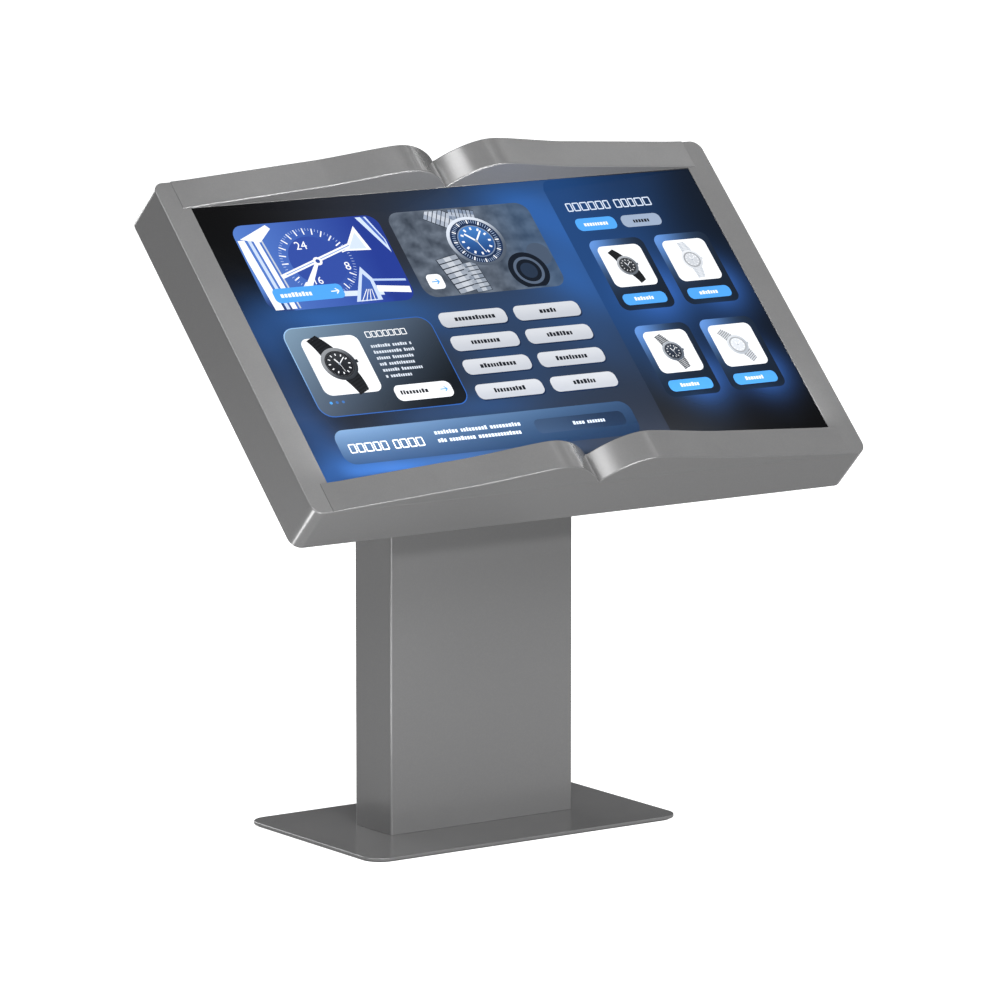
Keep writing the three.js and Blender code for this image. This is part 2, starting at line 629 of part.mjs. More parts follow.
// Half of the book's section: up from the spine, over the crest and down to the page's end.
function pageOutline() {
  const tipX = HEAD_W / 2 - HEAD_CORNER_R - PAGE_MARGIN;
  const crest = new THREE.Vector2(PAGE_CREST_X, PAGE_CREST);
  const shoulder = new THREE.Vector2(PAGE_SHOULDER_X, PAGE_SHOULDER);
  const rise = new THREE.CubicBezierCurve(
    new THREE.Vector2(GAP / 2, GAP),
    new THREE.Vector2(20, 26),
    new THREE.Vector2(55, PAGE_CREST + 0.6),
    crest,
  );
  const fall = new THREE.CubicBezierCurve(
    crest,
    new THREE.Vector2(PAGE_CREST_X + 24, PAGE_CREST),
    new THREE.Vector2(PAGE_SHOULDER_X - 51, PAGE_SHOULDER + 7),
    shoulder,
  );
  return [...rise.getPoints(12), ...fall.getPoints(12).slice(1), new THREE.Vector2(tipX, PAGE_TIP)];
}

function pageShape(points, side, floor) {
  const first = points[0];
  const last = points[points.length - 1];
  const closed = [...points, new THREE.Vector2(last.x, floor), new THREE.Vector2(first.x, floor)];
  return new THREE.Shape(closed.map((p) => new THREE.Vector2(side * p.x, p.y)));
}

// The outline moved inwards by the sheet's thickness, where it still lies above the floor.
function pageInside(points, floor) {
  const moved = points.map((p, i) => {
    const before = points[Math.max(i - 1, 0)];
    const after = points[Math.min(i + 1, points.length - 1)];
    const along = after.clone().sub(before).normalize();
    return new THREE.Vector2(p.x + along.y * PAGE_SHEET, p.y - along.x * PAGE_SHEET);
  });
  return moved.filter((p) => p.y > floor);
}

function buildPages() {
  const outline = pageOutline();
  const inside = pageInside(outline, GAP);
  const along = [SCREEN_H / 2, HEAD_H / 2];
  const hollow = [along[0] + PAGE_SHEET, along[1] - PAGE_SHEET];
  // A section drawn in x and z, run along y between two heights up the screen.
  const run = (shape, [y0, y1]) => {
    const geometry = new THREE.ExtrudeGeometry(shape, { depth: y1 - y0, bevelEnabled: false });
    return solid(geometry.rotateX(Math.PI / 2).translate(0, y1, 0));
  };
  for (const [row, up] of [["top", 1], ["bottom", -1]]) {
    const span = ([a, b]) => (up > 0 ? [a, b] : [-b, -a]);
    for (const [hand, side] of [["left", -1], ["right", 1]]) {
      const outer = run(pageShape(outline, side, GAP), span(along));
      const inner = run(pageShape(inside, side, -1), span(hollow));
      add(head, `page_${row}_${hand}`, cut(outer, inner), "powder_coat");
    }
  }
}

function buildDisplay() {
  const glassW = SCREEN_W + 2 * GLASS_LAP;
  const glassH = SCREEN_H + 2 * GLASS_LAP;
  const glass = prism(roundedRect(glassW, glassH, GLASS_R), [GLASS_BACK, GLASS_FACE], 3);
  add(head, "touch_glass", glass, "glass");
  const slack = 2 * GAP;
  const around = roundedRect(glassW + slack, glassH + slack, GLASS_R + GAP);
  const wide = slack + 2 * GASKET_W;
  const rim = roundedRect(glassW + wide, glassH + wide, GLASS_R + GAP + GASKET_W);
  const hole = prism(around, [GLASS_BACK - 1, GLASS_FACE + 1], 3);
  add(head, "glass_gasket", cut(prism(rim, [GLASS_BACK, GLASS_FACE], 3), hole), "rubber");
  const cell = roundedRect(SCREEN_W + 2 * CELL_LAP, SCREEN_H + 2 * CELL_LAP, 1);
  add(head, "display_cell", prism(cell, [CELL_BACK, CELL_FACE], 1), "display");
  const tray = roundedRect(SCREEN_W + 2 * BACKLIGHT_LAP, SCREEN_H + 2 * BACKLIGHT_LAP, 2);
  add(head, "backlight_tray", prism(tray, [TRAY_BACK, TRAY_FACE], 2), "zinc_steel");
}

function buildRails() {
  const length = [-RAIL_L / 2, RAIL_L / 2];
  for (const [hand, side] of [["left", -1], ["right", 1]]) {
    const x = (a, b) => [side * RAIL_X + a, side * RAIL_X + b];
    const full = block(x(-RAIL_W / 2, RAIL_W / 2), length, [RAIL_BACK, RAIL_FRONT]);
    const half = RAIL_W / 2 - RAIL_SHEET;
    const channelX = side > 0 ? x(-RAIL_W / 2 - 1, half) : x(-half, RAIL_W / 2 + 1);
    const channel = block(channelX, [-RAIL_L, RAIL_L], [RAIL_BACK + RAIL_SHEET, RAIL_FRONT - RAIL_SHEET]);
    const padY = [BRACKET_MID - RAIL_PAD / 2, BRACKET_MID + RAIL_PAD / 2];
    const pad = block(x(-RAIL_W / 2, RAIL_W / 2), padY, [FLANGE_BACK, RAIL_BACK + 1]);
    const holeZ = [FLANGE_BACK - 1, RAIL_BACK + RAIL_SHEET + 1];
    const holes = bracketBolts
      .filter(([bx]) => Math.sign(bx) === side)
      .map(([bx, by]) => bar(BOLT_R + BOLT_PLAY, [bx, by, holeZ[0]], [bx, by, holeZ[1]]));
    add(head, `head_rail_${hand}`, cut(full.add(pad), channel, ...holes), "zinc_steel");
  }
}

function buildBackCover() {
  const slack = 2 * (SHEET + GAP);
  const z = [COVER_BACK, COVER_FACE];
  const past = [z[0] - 1, z[1] + 1];
  const sheet = prism(roundedRect(HEAD_W - slack, HEAD_H - slack, HEAD_CORNER_R - SHEET - GAP), z, 5);
  const slot = (cx, cy, w, h) => prism(roundedRect(w, h, SLOT_W / 2, cx, cy), past, 2);
  const exhaust = [-FAN_X, FAN_X].flatMap((x) =>
    [-2, -1, 0, 1, 2].map((i) => slot(x, FAN_Y + i * SLOT_PITCH, SLOT_L, SLOT_W)),
  );
  const intake = [-FAN_X, FAN_X].flatMap((x) =>
    Array.from({ length: INTAKE_SLOTS }, (_, i) =>
      slot(x + (i - (INTAKE_SLOTS - 1) / 2) * SLOT_PITCH, -HEAD_H / 2 + INTAKE_UP, SLOT_W, SLOT_L),
    ),
  );
  const bolts = bracketBolts.map(([x, y]) => bar(BOLT_R + BOLT_PLAY, [x, y, past[0]], [x, y, past[1]]));
  const cableHole = bar(CABLE_HOLE_R, [0, BRACKET_MID, past[0]], [0, BRACKET_MID, past[1]], 20);
  const screws = coverScrews.map(([x, y]) => bar(SCREW_R + SCREW_PLAY, [x, y, past[0]], [x, y, past[1]], 12));
  const cover = cut(sheet, ...exhaust, ...intake, ...bolts, cableHole, ...screws);
  add(head, "back_cover", cover, "powder_coat");
  coverScrews.forEach(([x, y], i) => {
    const under = COVER_BACK - GAP;
    const pan = bar(SCREW_HEAD_R, [x, y, under - SCREW_HEAD_T], [x, y, under], 12);
    const shank = bar(SCREW_R, [x, y, under - 1], [x, y, FLANGE_FACE + SCREW_END], 8);
    add(head, `cover_screw_${i + 1}`, pan.add(shank), "zinc_steel");
  });
}

function buildFans() {
  const seat = COVER_FACE + GAP;
  const top = seat + FAN_DEPTH;
  const strutZ = seat + FAN_STATOR / 2;
  const hubZ = [seat + FAN_STATOR + GAP, top - 1];
  const bladeReach = FAN_BORE_R - FAN_TIP_PLAY;
  const bladeL = bladeReach - FAN_HUB_R / 2;
  for (const [hand, x] of [["left", -FAN_X], ["right", FAN_X]]) {
    const frame = prism(roundedRect(FAN_SIZE, FAN_SIZE, FAN_CORNER_R, x, FAN_Y), [seat, top], 3);
    const bore = bar(FAN_BORE_R, [x, FAN_Y, seat - 1], [x, FAN_Y, top + 1], 28);
    const stator = bar(FAN_HUB_R, [x, FAN_Y, seat], [x, FAN_Y, seat + FAN_STATOR], 24);
    const struts = [0, 1, 2].map((i) => {
      const angle = (i * 2 * Math.PI) / 3;
      const endX = x + Math.cos(angle) * (FAN_BORE_R + 1);
      const endY = FAN_Y + Math.sin(angle) * (FAN_BORE_R + 1);
      return bar(FAN_STRUT_R, [x, FAN_Y, strutZ], [endX, endY, strutZ], 6);
    });
    add(head, `fan_frame_${hand}`, joined(cut(frame, bore), stator, ...struts), "black_plastic");
    const hub = bar(FAN_HUB_R, [x, FAN_Y, hubZ[0]], [x, FAN_Y, hubZ[1]], 24);
    const blades = Array.from({ length: FAN_BLADES }, (_, i) => {
      const blade = new THREE.BoxGeometry(bladeL, FAN_BLADE_T, FAN_BLADE_CHORD);
      blade.translate(bladeReach - bladeL / 2, 0, 0).rotateX(FAN_PITCH);
      blade.rotateZ((i * 2 * Math.PI) / FAN_BLADES).translate(x, FAN_Y, (hubZ[0] + hubZ[1]) / 2);
      return solid(blade);
    });
    add(head, `fan_rotor_${hand}`, joined(hub, ...blades), "black_plastic");
  }
}

// A board on four legs behind the backlight, with blocks for its taller components.
function buildBoard(name, [x0, x1], [y0, y1], components) {
  const front = TRAY_BACK - GAP;
  const face = front - 5;
  const board = block([x0, x1], [y0, y1], [face - 1.6, face]);
  const legs = [
    [x0 + 6, y0 + 6],
    [x1 - 6, y0 + 6],
    [x0 + 6, y1 - 6],
    [x1 - 6, y1 - 6],
  ].map(([x, y]) => bar(3, [x, y, face - 1], [x, y, front], 12));
  const lumps = components.map(({ x, y, tall }) => block(x, y, [face - 1.6 - tall, face - 1]));
  add(head, name, joined(board, ...legs, ...lumps), "circuit_board");
}

const BOARD_TOP = -20;
const CONNECTOR_X = 30;

function buildBoards() {
  buildBoard("driver_board", [-70, 70], [BOARD_TOP - 100, BOARD_TOP], [
    { x: [CONNECTOR_X - 10, CONNECTOR_X + 10], y: [BOARD_TOP - 15, BOARD_TOP], tall: 10 },
    { x: [-CONNECTOR_X - 10, -CONNECTOR_X + 10], y: [BOARD_TOP - 15, BOARD_TOP], tall: 10 },
    { x: [-18, 18], y: [BOARD_TOP - 75, BOARD_TOP - 40], tall: 12 },
  ]);
  buildBoard("touch_controller", [-35, 35], [BOARD_TOP - 200, BOARD_TOP - 155], [
    { x: [-10, 10], y: [BOARD_TOP - 188, BOARD_TOP - 168], tall: 2 },
  ]);
}

function buildCables() {
  const psuY = EQUIPMENT_FACE + PSU_D / 2;
  const pcY = EQUIPMENT_FACE + PC_D / 2;
  const socketBack = PANEL_BACK + INLET_RIM_T - INLET_DEPTH;
  const plugZ = TRAY_BACK - GAP - 5 - 1.6 - 5;
  const V = (x, y, z) => new THREE.Vector3(x, y, z);
  const through = (x) => [
    headPoint(x, BRACKET_MID, BRACKET_Z - 12),
    headPoint(x, BRACKET_MID, COVER_FACE + 4),
    headPoint(1.4 * x, BRACKET_MID - 20, -56),
    headPoint(2.2 * x, 35, -42),
  ];
  const inletZ = INLET_Z - SOCKET_DOWN;
  buildCable(
    "mains_lead",
    [
      V(INLET_X, socketBack, inletZ),
      V(INLET_X, socketBack - 12, inletZ),
      V(INLET_X + 2, 0, inletZ + 26),
      V(INLET_X + 6, -16, inletZ + 70),
      V(INLET_X + 10, psuY, PSU_Z - 30),
      V(INLET_X + 10, psuY, PSU_Z - GAP),
    ],
    16,
  );
  buildCable(
    "panel_power_lead",
    [
      V(50, psuY, PSU_Z + PSU_H + GAP),
      V(50, psuY, PSU_Z + PSU_H + 18),
      V(88, psuY - 2, PSU_Z + PSU_H + 60),
      V(PC_W / 2 + 14, pcY, PC_Z + 10),
      V(PC_W / 2 + 14, pcY, PC_Z + PC_H + 10),
      V(60, pcY + 4, PC_Z + PC_H + 130),
      ...through(12),
      headPoint(CONNECTOR_X, BOARD_TOP + 14, plugZ),
      headPoint(CONNECTOR_X, BOARD_TOP + GAP, plugZ),
    ],
    40,
  );
  buildCable(
    "video_lead",
    [
      V(-40, pcY, PC_Z + PC_H + GAP),
      V(-40, pcY, PC_Z + PC_H + 20),
      V(-38, pcY + 3, PC_Z + PC_H + 130),
      ...through(-12),
      headPoint(-CONNECTOR_X, BOARD_TOP + 14, plugZ),
      headPoint(-CONNECTOR_X, BOARD_TOP + GAP, plugZ),
    ],
    30,
  );
}

buildBase();
buildFoot();
buildPillarShell();
buildRearPanels();
buildHeadBracket();
buildDoor();
buildHinge("lower", DOOR_FROM + HINGE_END);
buildHinge("upper", DOOR_TO - HINGE_END);
buildLock();
buildInlet();
buildButton();
buildEquipment();
buildFrontShell();
buildPages();
buildDisplay();
buildRails();
buildBackCover();
buildFans();
buildBoards();
buildCables();

export default kiosk;
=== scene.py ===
"""Looks of a touchscreen kiosk: a screen in a steel casing shaped like an open book, tilted on a flat pillar.

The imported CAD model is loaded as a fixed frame, in metres, with the user at -Y. The visible pieces are built
round it, and each rides on its CAD body. Pieces of the head are drawn in the head's own axes: x across, v up
the screen and w out of the screen, with w = 0 on the face of the bezel.
"""

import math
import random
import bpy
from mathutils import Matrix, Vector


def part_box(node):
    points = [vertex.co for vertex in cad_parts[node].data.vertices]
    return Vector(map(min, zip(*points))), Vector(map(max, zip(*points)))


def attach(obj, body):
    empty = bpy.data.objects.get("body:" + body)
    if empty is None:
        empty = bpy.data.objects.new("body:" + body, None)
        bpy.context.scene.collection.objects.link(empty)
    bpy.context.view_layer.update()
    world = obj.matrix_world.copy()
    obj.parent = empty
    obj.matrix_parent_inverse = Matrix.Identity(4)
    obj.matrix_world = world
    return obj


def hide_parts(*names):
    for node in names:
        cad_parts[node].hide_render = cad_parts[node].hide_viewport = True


bl_info = {
    "name": "Touchscreen kiosk",
    "version": (1, 0, 0),
    "blender": (4, 5, 0),
    "location": "View3D > Sidebar > Kiosk",
    "description": "Builds the visible pieces, finishes and stage of a tilted touchscreen kiosk",
    "category": "Object",
}

import bmesh
import bpy
import numpy as np
from mathutils import Matrix, Vector, noise

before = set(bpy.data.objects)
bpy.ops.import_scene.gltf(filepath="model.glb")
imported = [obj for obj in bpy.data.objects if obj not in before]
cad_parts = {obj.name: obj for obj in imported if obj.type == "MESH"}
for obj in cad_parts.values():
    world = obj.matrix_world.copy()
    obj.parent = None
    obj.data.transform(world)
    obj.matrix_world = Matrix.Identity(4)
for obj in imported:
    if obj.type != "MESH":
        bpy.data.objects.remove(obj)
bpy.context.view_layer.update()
MM = 0.001

# ---- Places, from the frame ----

TILT = math.radians(45)
TURN = Matrix.Rotation(TILT, 4, "X")


def turned_box(node, turn):
    """Lowest and highest corner of a CAD node, measured along the axes of a rotation."""
    points = np.array([v.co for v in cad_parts[node].data.vertices])
    turned = points @ np.array(turn.to_3x3())
    return Vector(turned.min(0)), Vector(turned.max(0))


def head_origin():
    """Centre of the bezel's face, in the row frame."""
    low, high = turned_box("front_shell", TURN)
    return TURN @ Vector(((low.x + high.x) / 2, (low.y + high.y) / 2, high.z))


HEAD_ORIGIN = head_origin()
HEAD = Matrix.Translation(HEAD_ORIGIN) @ TURN


def head_box(node):
    """Lowest and highest corner of a CAD node in the head's axes."""
    low, high = turned_box(node, TURN)
    origin = TURN.inverted() @ HEAD_ORIGIN
    return low - origin, high - origin


# ---- Settings ----


class KioskCasingSettings(bpy.types.PropertyGroup):
    """Folds and edges of the sheet-metal casing and its pages."""

    sheet: bpy.props.FloatProperty(
        name="Sheet", description="Thickness of the folded steel", default=2 * MM, min=0.0005, unit="LENGTH"
    )
    corner_radius: bpy.props.FloatProperty(
        name="Corner radius", description="Outer corners of the casing", default=19 * MM, unit="LENGTH"
    )
    edge_radius: bpy.props.FloatProperty(
        name="Edge radius", description="Rolled edge between bezel and walls", default=2.5 * MM, unit="LENGTH"
    )
    page_edge_radius: bpy.props.FloatProperty(
        name="Page edge radius", description="Rolled edges of the pages", default=2.2 * MM, unit="LENGTH"
    )
    arc_steps: bpy.props.IntProperty(
        name="Arc steps", description="Segments in each rolled edge", default=6, min=2, max=16
    )


class KioskCoatSettings(bpy.types.PropertyGroup):
    """The satin powder coat."""

    colour: bpy.props.FloatVectorProperty(
        name="Colour", description="Grey of the coat", subtype="COLOR", default=(0.116, 0.116, 0.117)
    )
    flake_colour: bpy.props.FloatVectorProperty(
        name="Flake colour", description="Metal flakes", subtype="COLOR", default=(0.126, 0.126, 0.127)
    )
    roughness: bpy.props.FloatProperty(
        name="Roughness", description="Mean roughness of the coat", default=0.23, max=1, subtype="FACTOR"
    )
    metallic: bpy.props.FloatProperty(
        name="Metallic", description="How metallic the coat looks", default=0.45, max=1, subtype="FACTOR"
    )


class KioskScreenSettings(bpy.types.PropertyGroup):
    """The touch screen and its picture."""

    brightness: bpy.props.FloatProperty(
        name="Brightness", description="Light given off by the picture", default=1.0, min=0, max=5
    )
    lap: bpy.props.FloatProperty(
        name="Lap", description="Width of the glass hidden under the bezel", default=10 * MM, unit="LENGTH"
    )
    layer: bpy.props.FloatProperty(
        name="Layer", description="Step between the layers of the picture", default=0.08 * MM, unit="LENGTH"
    )


class KioskStageSettings(bpy.types.PropertyGroup):
    """Floor, light and camera."""

    floor_size: bpy.props.FloatProperty(
        name="Floor size", description="Side of the pale floor", default=120.0, unit="LENGTH"
    )
    sky: bpy.props.FloatProperty(name="Sky", description="Brightness of the studio's walls", default=0.62)
    key: bpy.props.FloatProperty(name="Key", description="Strength of the distant light", default=3.45)
    fill: bpy.props.FloatProperty(
        name="Fill", description="Power of the studio lights, in watts, before their shares", default=120.0
    )
    page_glow: bpy.props.FloatProperty(
        name="Page glow", description="Power of the light along the screen's foot, in watts", default=7.5
    )
    floor_glow: bpy.props.FloatProperty(
        name="Floor glow", description="Light of the lit floor where it is seen", default=0.8
    )
    lens: bpy.props.FloatProperty(name="Lens", description="Focal length in millimetres", default=238.507)


class KioskSettings(bpy.types.PropertyGroup):
    """All the sizes and colours that a user would change."""

    casing: bpy.props.PointerProperty(type=KioskCasingSettings)
    coat: bpy.props.PointerProperty(type=KioskCoatSettings)
    screen: bpy.props.PointerProperty(type=KioskScreenSettings)
    stage: bpy.props.PointerProperty(type=KioskStageSettings)


# ---- Meshes ----


SHARP_ANGLE = math.radians(32)
WELD_DISTANCE = 1e-6


def mesh_of(name, points, faces, place=None):
    """A mesh with outward normals, smooth but for its sharp edges."""
    mesh = bpy.data.meshes.new(name)
    mesh.from_pydata([tuple(p) for p in points], [], faces)
    bm = bmesh.new()
    bm.from_mesh(mesh)
    bmesh.ops.remove_doubles(bm, verts=bm.verts, dist=WELD_DISTANCE)
    bmesh.ops.recalc_face_normals(bm, faces=bm.faces)
    bm.to_mesh(mesh)
    bm.free()
    if place is not None:
        mesh.transform(place)
    mesh.polygons.foreach_set("use_smooth", [True] * len(mesh.polygons))
    mesh.set_sharp_from_angle(angle=SHARP_ANGLE)
    return mesh


def add_piece(mesh, body, slot, replaces=(), material=None, weighted=True):
    """An object that rides on a CAD body, and stands for the CAD nodes named in replaces."""
    piece = bpy.data.objects.new(mesh.name, mesh)
    bpy.context.scene.collection.objects.link(piece)
    mesh.materials.append(material or slot_material(slot))
    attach(piece, body)
    if replaces:
        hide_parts(*replaces)
    if weighted:
        weigh_normals(piece)
    return piece


def weigh_normals(piece):
    """Keeps flat faces flat next to rolled edges."""
    weigh = piece.modifiers.new("Flat faces", "WEIGHTED_NORMAL")
    weigh.keep_sharp = True


def arc_between(start, end, centre, steps):
    """Points of the arc from start to end round a centre."""
    a, b = start - centre, end - centre
    sweep = a.angle(b)
    return [
        centre + (a * math.sin((1 - k / steps) * sweep) + b * math.sin(k / steps * sweep)) / math.sin(sweep)
        for k in range(steps + 1)
    ]


def filleted(corners, steps):
    """A closed outline whose corners, given as (point, radius), are rounded."""
    outline = []
    for i, (point, radius) in enumerate(corners):
        if not radius:
            outline.append(point)
            continue
        to_last = (corners[i - 1][0] - point).normalized()
        to_next = (corners[(i + 1) % len(corners)][0] - point).normalized()
        half = to_last.angle(to_next) / 2
        reach = radius / math.tan(half)
        centre = point + (to_last + to_next).normalized() * radius / math.sin(half)
        outline += arc_between(point + to_last * reach, point + to_next * reach, centre, steps)
    return outline


def rounded_rectangle(half_x, half_y, radius, steps=8):
    """Points of a rounded rectangle, anticlockwise from its right-hand side."""
    points = []
    for corner in range(4):
        side_x = 1 if corner in (0, 3) else -1
        side_y = 1 if corner in (0, 1) else -1
        for k in range(steps + 1):
            angle = (corner + k / steps) * math.pi / 2
            x = side_x * (half_x - radius) + radius * math.cos(angle)
            points.append((x, side_y * (half_y - radius) + radius * math.sin(angle)))
    return points


def lofted(loops, ring=False, caps=True):
    """Points and faces of a skin through loops of equal length. A ring joins its last loop to its first."""
    count = len(loops[0])
    points = [p for loop in loops for p in loop]
    faces = []
    for i in range(len(loops) if ring else len(loops) - 1):
        a, b = i * count, (i + 1) % len(loops) * count
        faces += [(a + k, a + (k + 1) % count, b + (k + 1) % count, b + k) for k in range(count)]
    if caps and not ring:
        faces.append(tuple(range(count))[::-1])
        faces.append(tuple(range(len(points) - count, len(points))))
    return points, faces


def rounded_block(half_x, half_y, height, radius, edge, steps=4, corner_steps=6):
    """A block on z = 0 with rounded upright corners and rolled top and bottom edges."""
    loops = []
    for k in range(steps + 1):
        angle = k / steps * math.pi / 2
        inset, z = edge * (1 - math.sin(angle)), edge * (1 - math.cos(angle))
        loops.append((inset, z))
    loops += [(inset, height - z) for inset, z in reversed(loops)]
    rings = []
    for inset, z in loops:
        corner = radius - inset * 0.9
        outline = rounded_rectangle(half_x - inset, half_y - inset, corner, corner_steps)
        rings.append([(x, y, z) for x, y in outline])
    return lofted(rings)


def turned(profile, steps, sides):
    """Points and faces of a profile of (radius, z) turned about z. sides has the rows that are hexagons."""
    loops = []
    for row, (radius, z) in enumerate(profile):
        loop = []
        for k in range(steps):
            angle = k / steps * 2 * math.pi
            reach = radius
            if row in sides:
                off = (angle + math.pi / 6) % (math.pi / 3) - math.pi / 6
                reach = radius * math.cos(math.pi / 6) / math.cos(off)
            loop.append((reach * math.cos(angle), reach * math.sin(angle), z))
        loops.append(loop)
    return lofted(loops)


def joined(parts):
    """Several (points, faces) as one."""
    points, faces = [], []
    for part_points, part_faces in parts:
        start = len(points)
        points += part_points
        faces += [tuple(start + i for i in face) for face in part_faces]
    return points, faces


def placed(part, matrix):
    """A (points, faces) moved by a matrix."""
    return [matrix @ Vector(p) for p in part[0]], part[1]


def moved(x, y, z, turn=0.0):
    """A place, turned about its own x axis."""
    return Matrix.Translation((x, y, z)) @ Matrix.Rotation(turn, 4, "X")


def facing_rear(x, y, z):
    """A place whose own z axis looks out of the kiosk's rear."""
    return moved(x, y, z, -math.pi / 2)


# ---- Shader nodes ----


def feed(tree, node, inputs):
    """Gives a node its inputs. A socket is linked, and any other value is set."""
    for name, value in inputs.items():
        if isinstance(value, bpy.types.NodeSocket):
            tree.links.new(value, node.inputs[name])
        else:
            node.inputs[name].default_value = value


def put(tree, kind, inputs=None, **values):
    """A new node with its inputs and settings."""
    node = tree.nodes.new(kind)
    for name, value in values.items():
        setattr(node, name, value)
    feed(tree, node, inputs or {})
    return node


def new_group(name, inputs, outputs):
    """A shader node group of number sockets, with its input and output nodes."""
    tree = bpy.data.node_groups.new(name, "ShaderNodeTree")
    for socket_name, default in inputs.items():
        socket = tree.interface.new_socket(socket_name, in_out="INPUT", socket_type="NodeSocketFloat")
        socket.default_value = default
    for socket_name in outputs:
        tree.interface.new_socket(socket_name, in_out="OUTPUT", socket_type="NodeSocketFloat")
    return tree, tree.nodes.new("NodeGroupInput").outputs, tree.nodes.new("NodeGroupOutput")


def object_place(tree):
    """Where a point of the surface is on its piece."""
    return put(tree, "ShaderNodeTexCoord").outputs["Object"]


def noise_at(tree, scale, detail=2.0, roughness=0.5, place=None, distortion=0.0):
    """Soft noise at a place, or where the point is on its piece."""
    values = {"Scale": scale, "Detail": detail, "Roughness": roughness, "Distortion": distortion}
    values["Vector"] = object_place(tree) if place is None else place
    return put(tree, "ShaderNodeTexNoise", values).outputs["Fac"]


def times(tree, a, b):
    """The product of two sockets."""
    return put(tree, "ShaderNodeMath", {0: a, 1: b}, operation="MULTIPLY").outputs["Value"]


def speckle_group(name):
    """Fine even speckle, such as flakes in a coat or the grain of moulded plastic, and its height."""
    inputs = {"Scale": 1500.0, "Patch Scale": 6.0}
    tree, given, out = new_group(name, inputs, ("Flakes", "Height", "Patches"))
    place = object_place(tree)
    flakes = put(tree, "ShaderNodeTexVoronoi", {"Vector": place, "Scale": given["Scale"]})
    flake_tone = put(tree, "ShaderNodeSeparateColor", {"Color": flakes.outputs["Color"]})
    height = noise_at(tree, given["Scale"], place=place)
    patches = noise_at(tree, given["Patch Scale"], 3.0, 0.55, place)
    feed(tree, out, {"Flakes": flake_tone.outputs["Red"], "Height": height, "Patches": patches})
    return tree


def edge_wear_highlight_group(name):
    """A mask of the outer edges, where hands and cloths polish a surface and where a painted highlight is
    laid.
    """
    tree, given, out = new_group(name, {"Radius": 0.0015, "Breakup Scale": 60.0}, ("Mask",))
    # The materials lighten the edges this mask finds: partly wear, partly a painted highlight.
    bevel = put(tree, "ShaderNodeBevel", {"Radius": given["Radius"]}, samples=4)
    true = put(tree, "ShaderNodeNewGeometry")
    normals = {0: bevel.outputs["Normal"], 1: true.outputs["Normal"]}
    turn = put(tree, "ShaderNodeVectorMath", normals, operation="DOT_PRODUCT")
    edge = ranged(tree, turn.outputs["Value"], 0.0, 1.0, 1.0, 0.85)
    breakup = noise_at(tree, given["Breakup Scale"], 4.0, 0.6)
    feed(tree, out, {"Mask": times(tree, edge, ranged(tree, breakup, 0.55, 1.0, 0.3, 0.7))})
    return tree


def dust_group(name):
    """A mask of the faint dust that settles on faces that look up."""
    tree, given, out = new_group(name, {"Amount": 0.1, "Scale": 14.0}, ("Mask",))
    up = put(tree, "ShaderNodeSeparateXYZ", {"Vector": put(tree, "ShaderNodeNewGeometry").outputs["Normal"]})
    facing = ranged(tree, up.outputs["Z"], 0.0, 1.0, 0.2, 1.0)
    drift = ranged(tree, noise_at(tree, given["Scale"], 8.0, 0.65), 0.0, 1.0, 0.35, 0.75)
    feed(tree, out, {"Mask": times(tree, times(tree, facing, drift), given["Amount"])})
    return tree


EFFECTS = {"Speckle": speckle_group, "Edge wear and highlight": edge_wear_highlight_group, "Settled dust": dust_group}


def effect(tree, name, inputs=None):
    """The outputs of a shared effect. Its node group is made once."""
    group = bpy.data.node_groups.get(name) or EFFECTS[name](name)
    return put(tree, "ShaderNodeGroup", inputs, node_tree=group).outputs


def new_material(name):
    """A material, its node tree and its Principled BSDF."""
    material = bpy.data.materials.new(name)
    material.use_nodes = True
    tree = material.node_tree
    tree.nodes.clear()
    shader = put(tree, "ShaderNodeBsdfPrincipled")
    output = put(tree, "ShaderNodeOutputMaterial")
    tree.links.new(shader.outputs["BSDF"], output.inputs["Surface"])
    return material, tree, shader


def mixed(tree, share, a, b):
    """The colour between a and b, by a share that is a socket or a number."""
    node = put(tree, "ShaderNodeMix", data_type="RGBA")
    for socket, value in zip((node.inputs["Factor"], node.inputs[6], node.inputs[7]), (share, a, b)):
        if isinstance(value, bpy.types.NodeSocket):
            tree.links.new(value, socket)
        else:
            socket.default_value = (*value, 1.0) if hasattr(value, "__len__") else value
    return node.outputs[2]


def ranged(tree, value, low, high, from_low=0.0, from_high=1.0):
    """A socket's value mapped on to low to high."""
    node = put(
        tree,
        "ShaderNodeMapRange",
        {"Value": value, "From Min": from_low, "From Max": from_high, "To Min": low, "To Max": high},
    )
    return node.outputs["Result"]


def bumped(tree, shader, height, distance, strength=1.0):
    """Joins a height to the shader's normal through a bump."""
    bump = put(tree, "ShaderNodeBump", {"Height": height, "Distance": distance, "Strength": strength})
    tree.links.new(bump.outputs["Normal"], shader.inputs["Normal"])


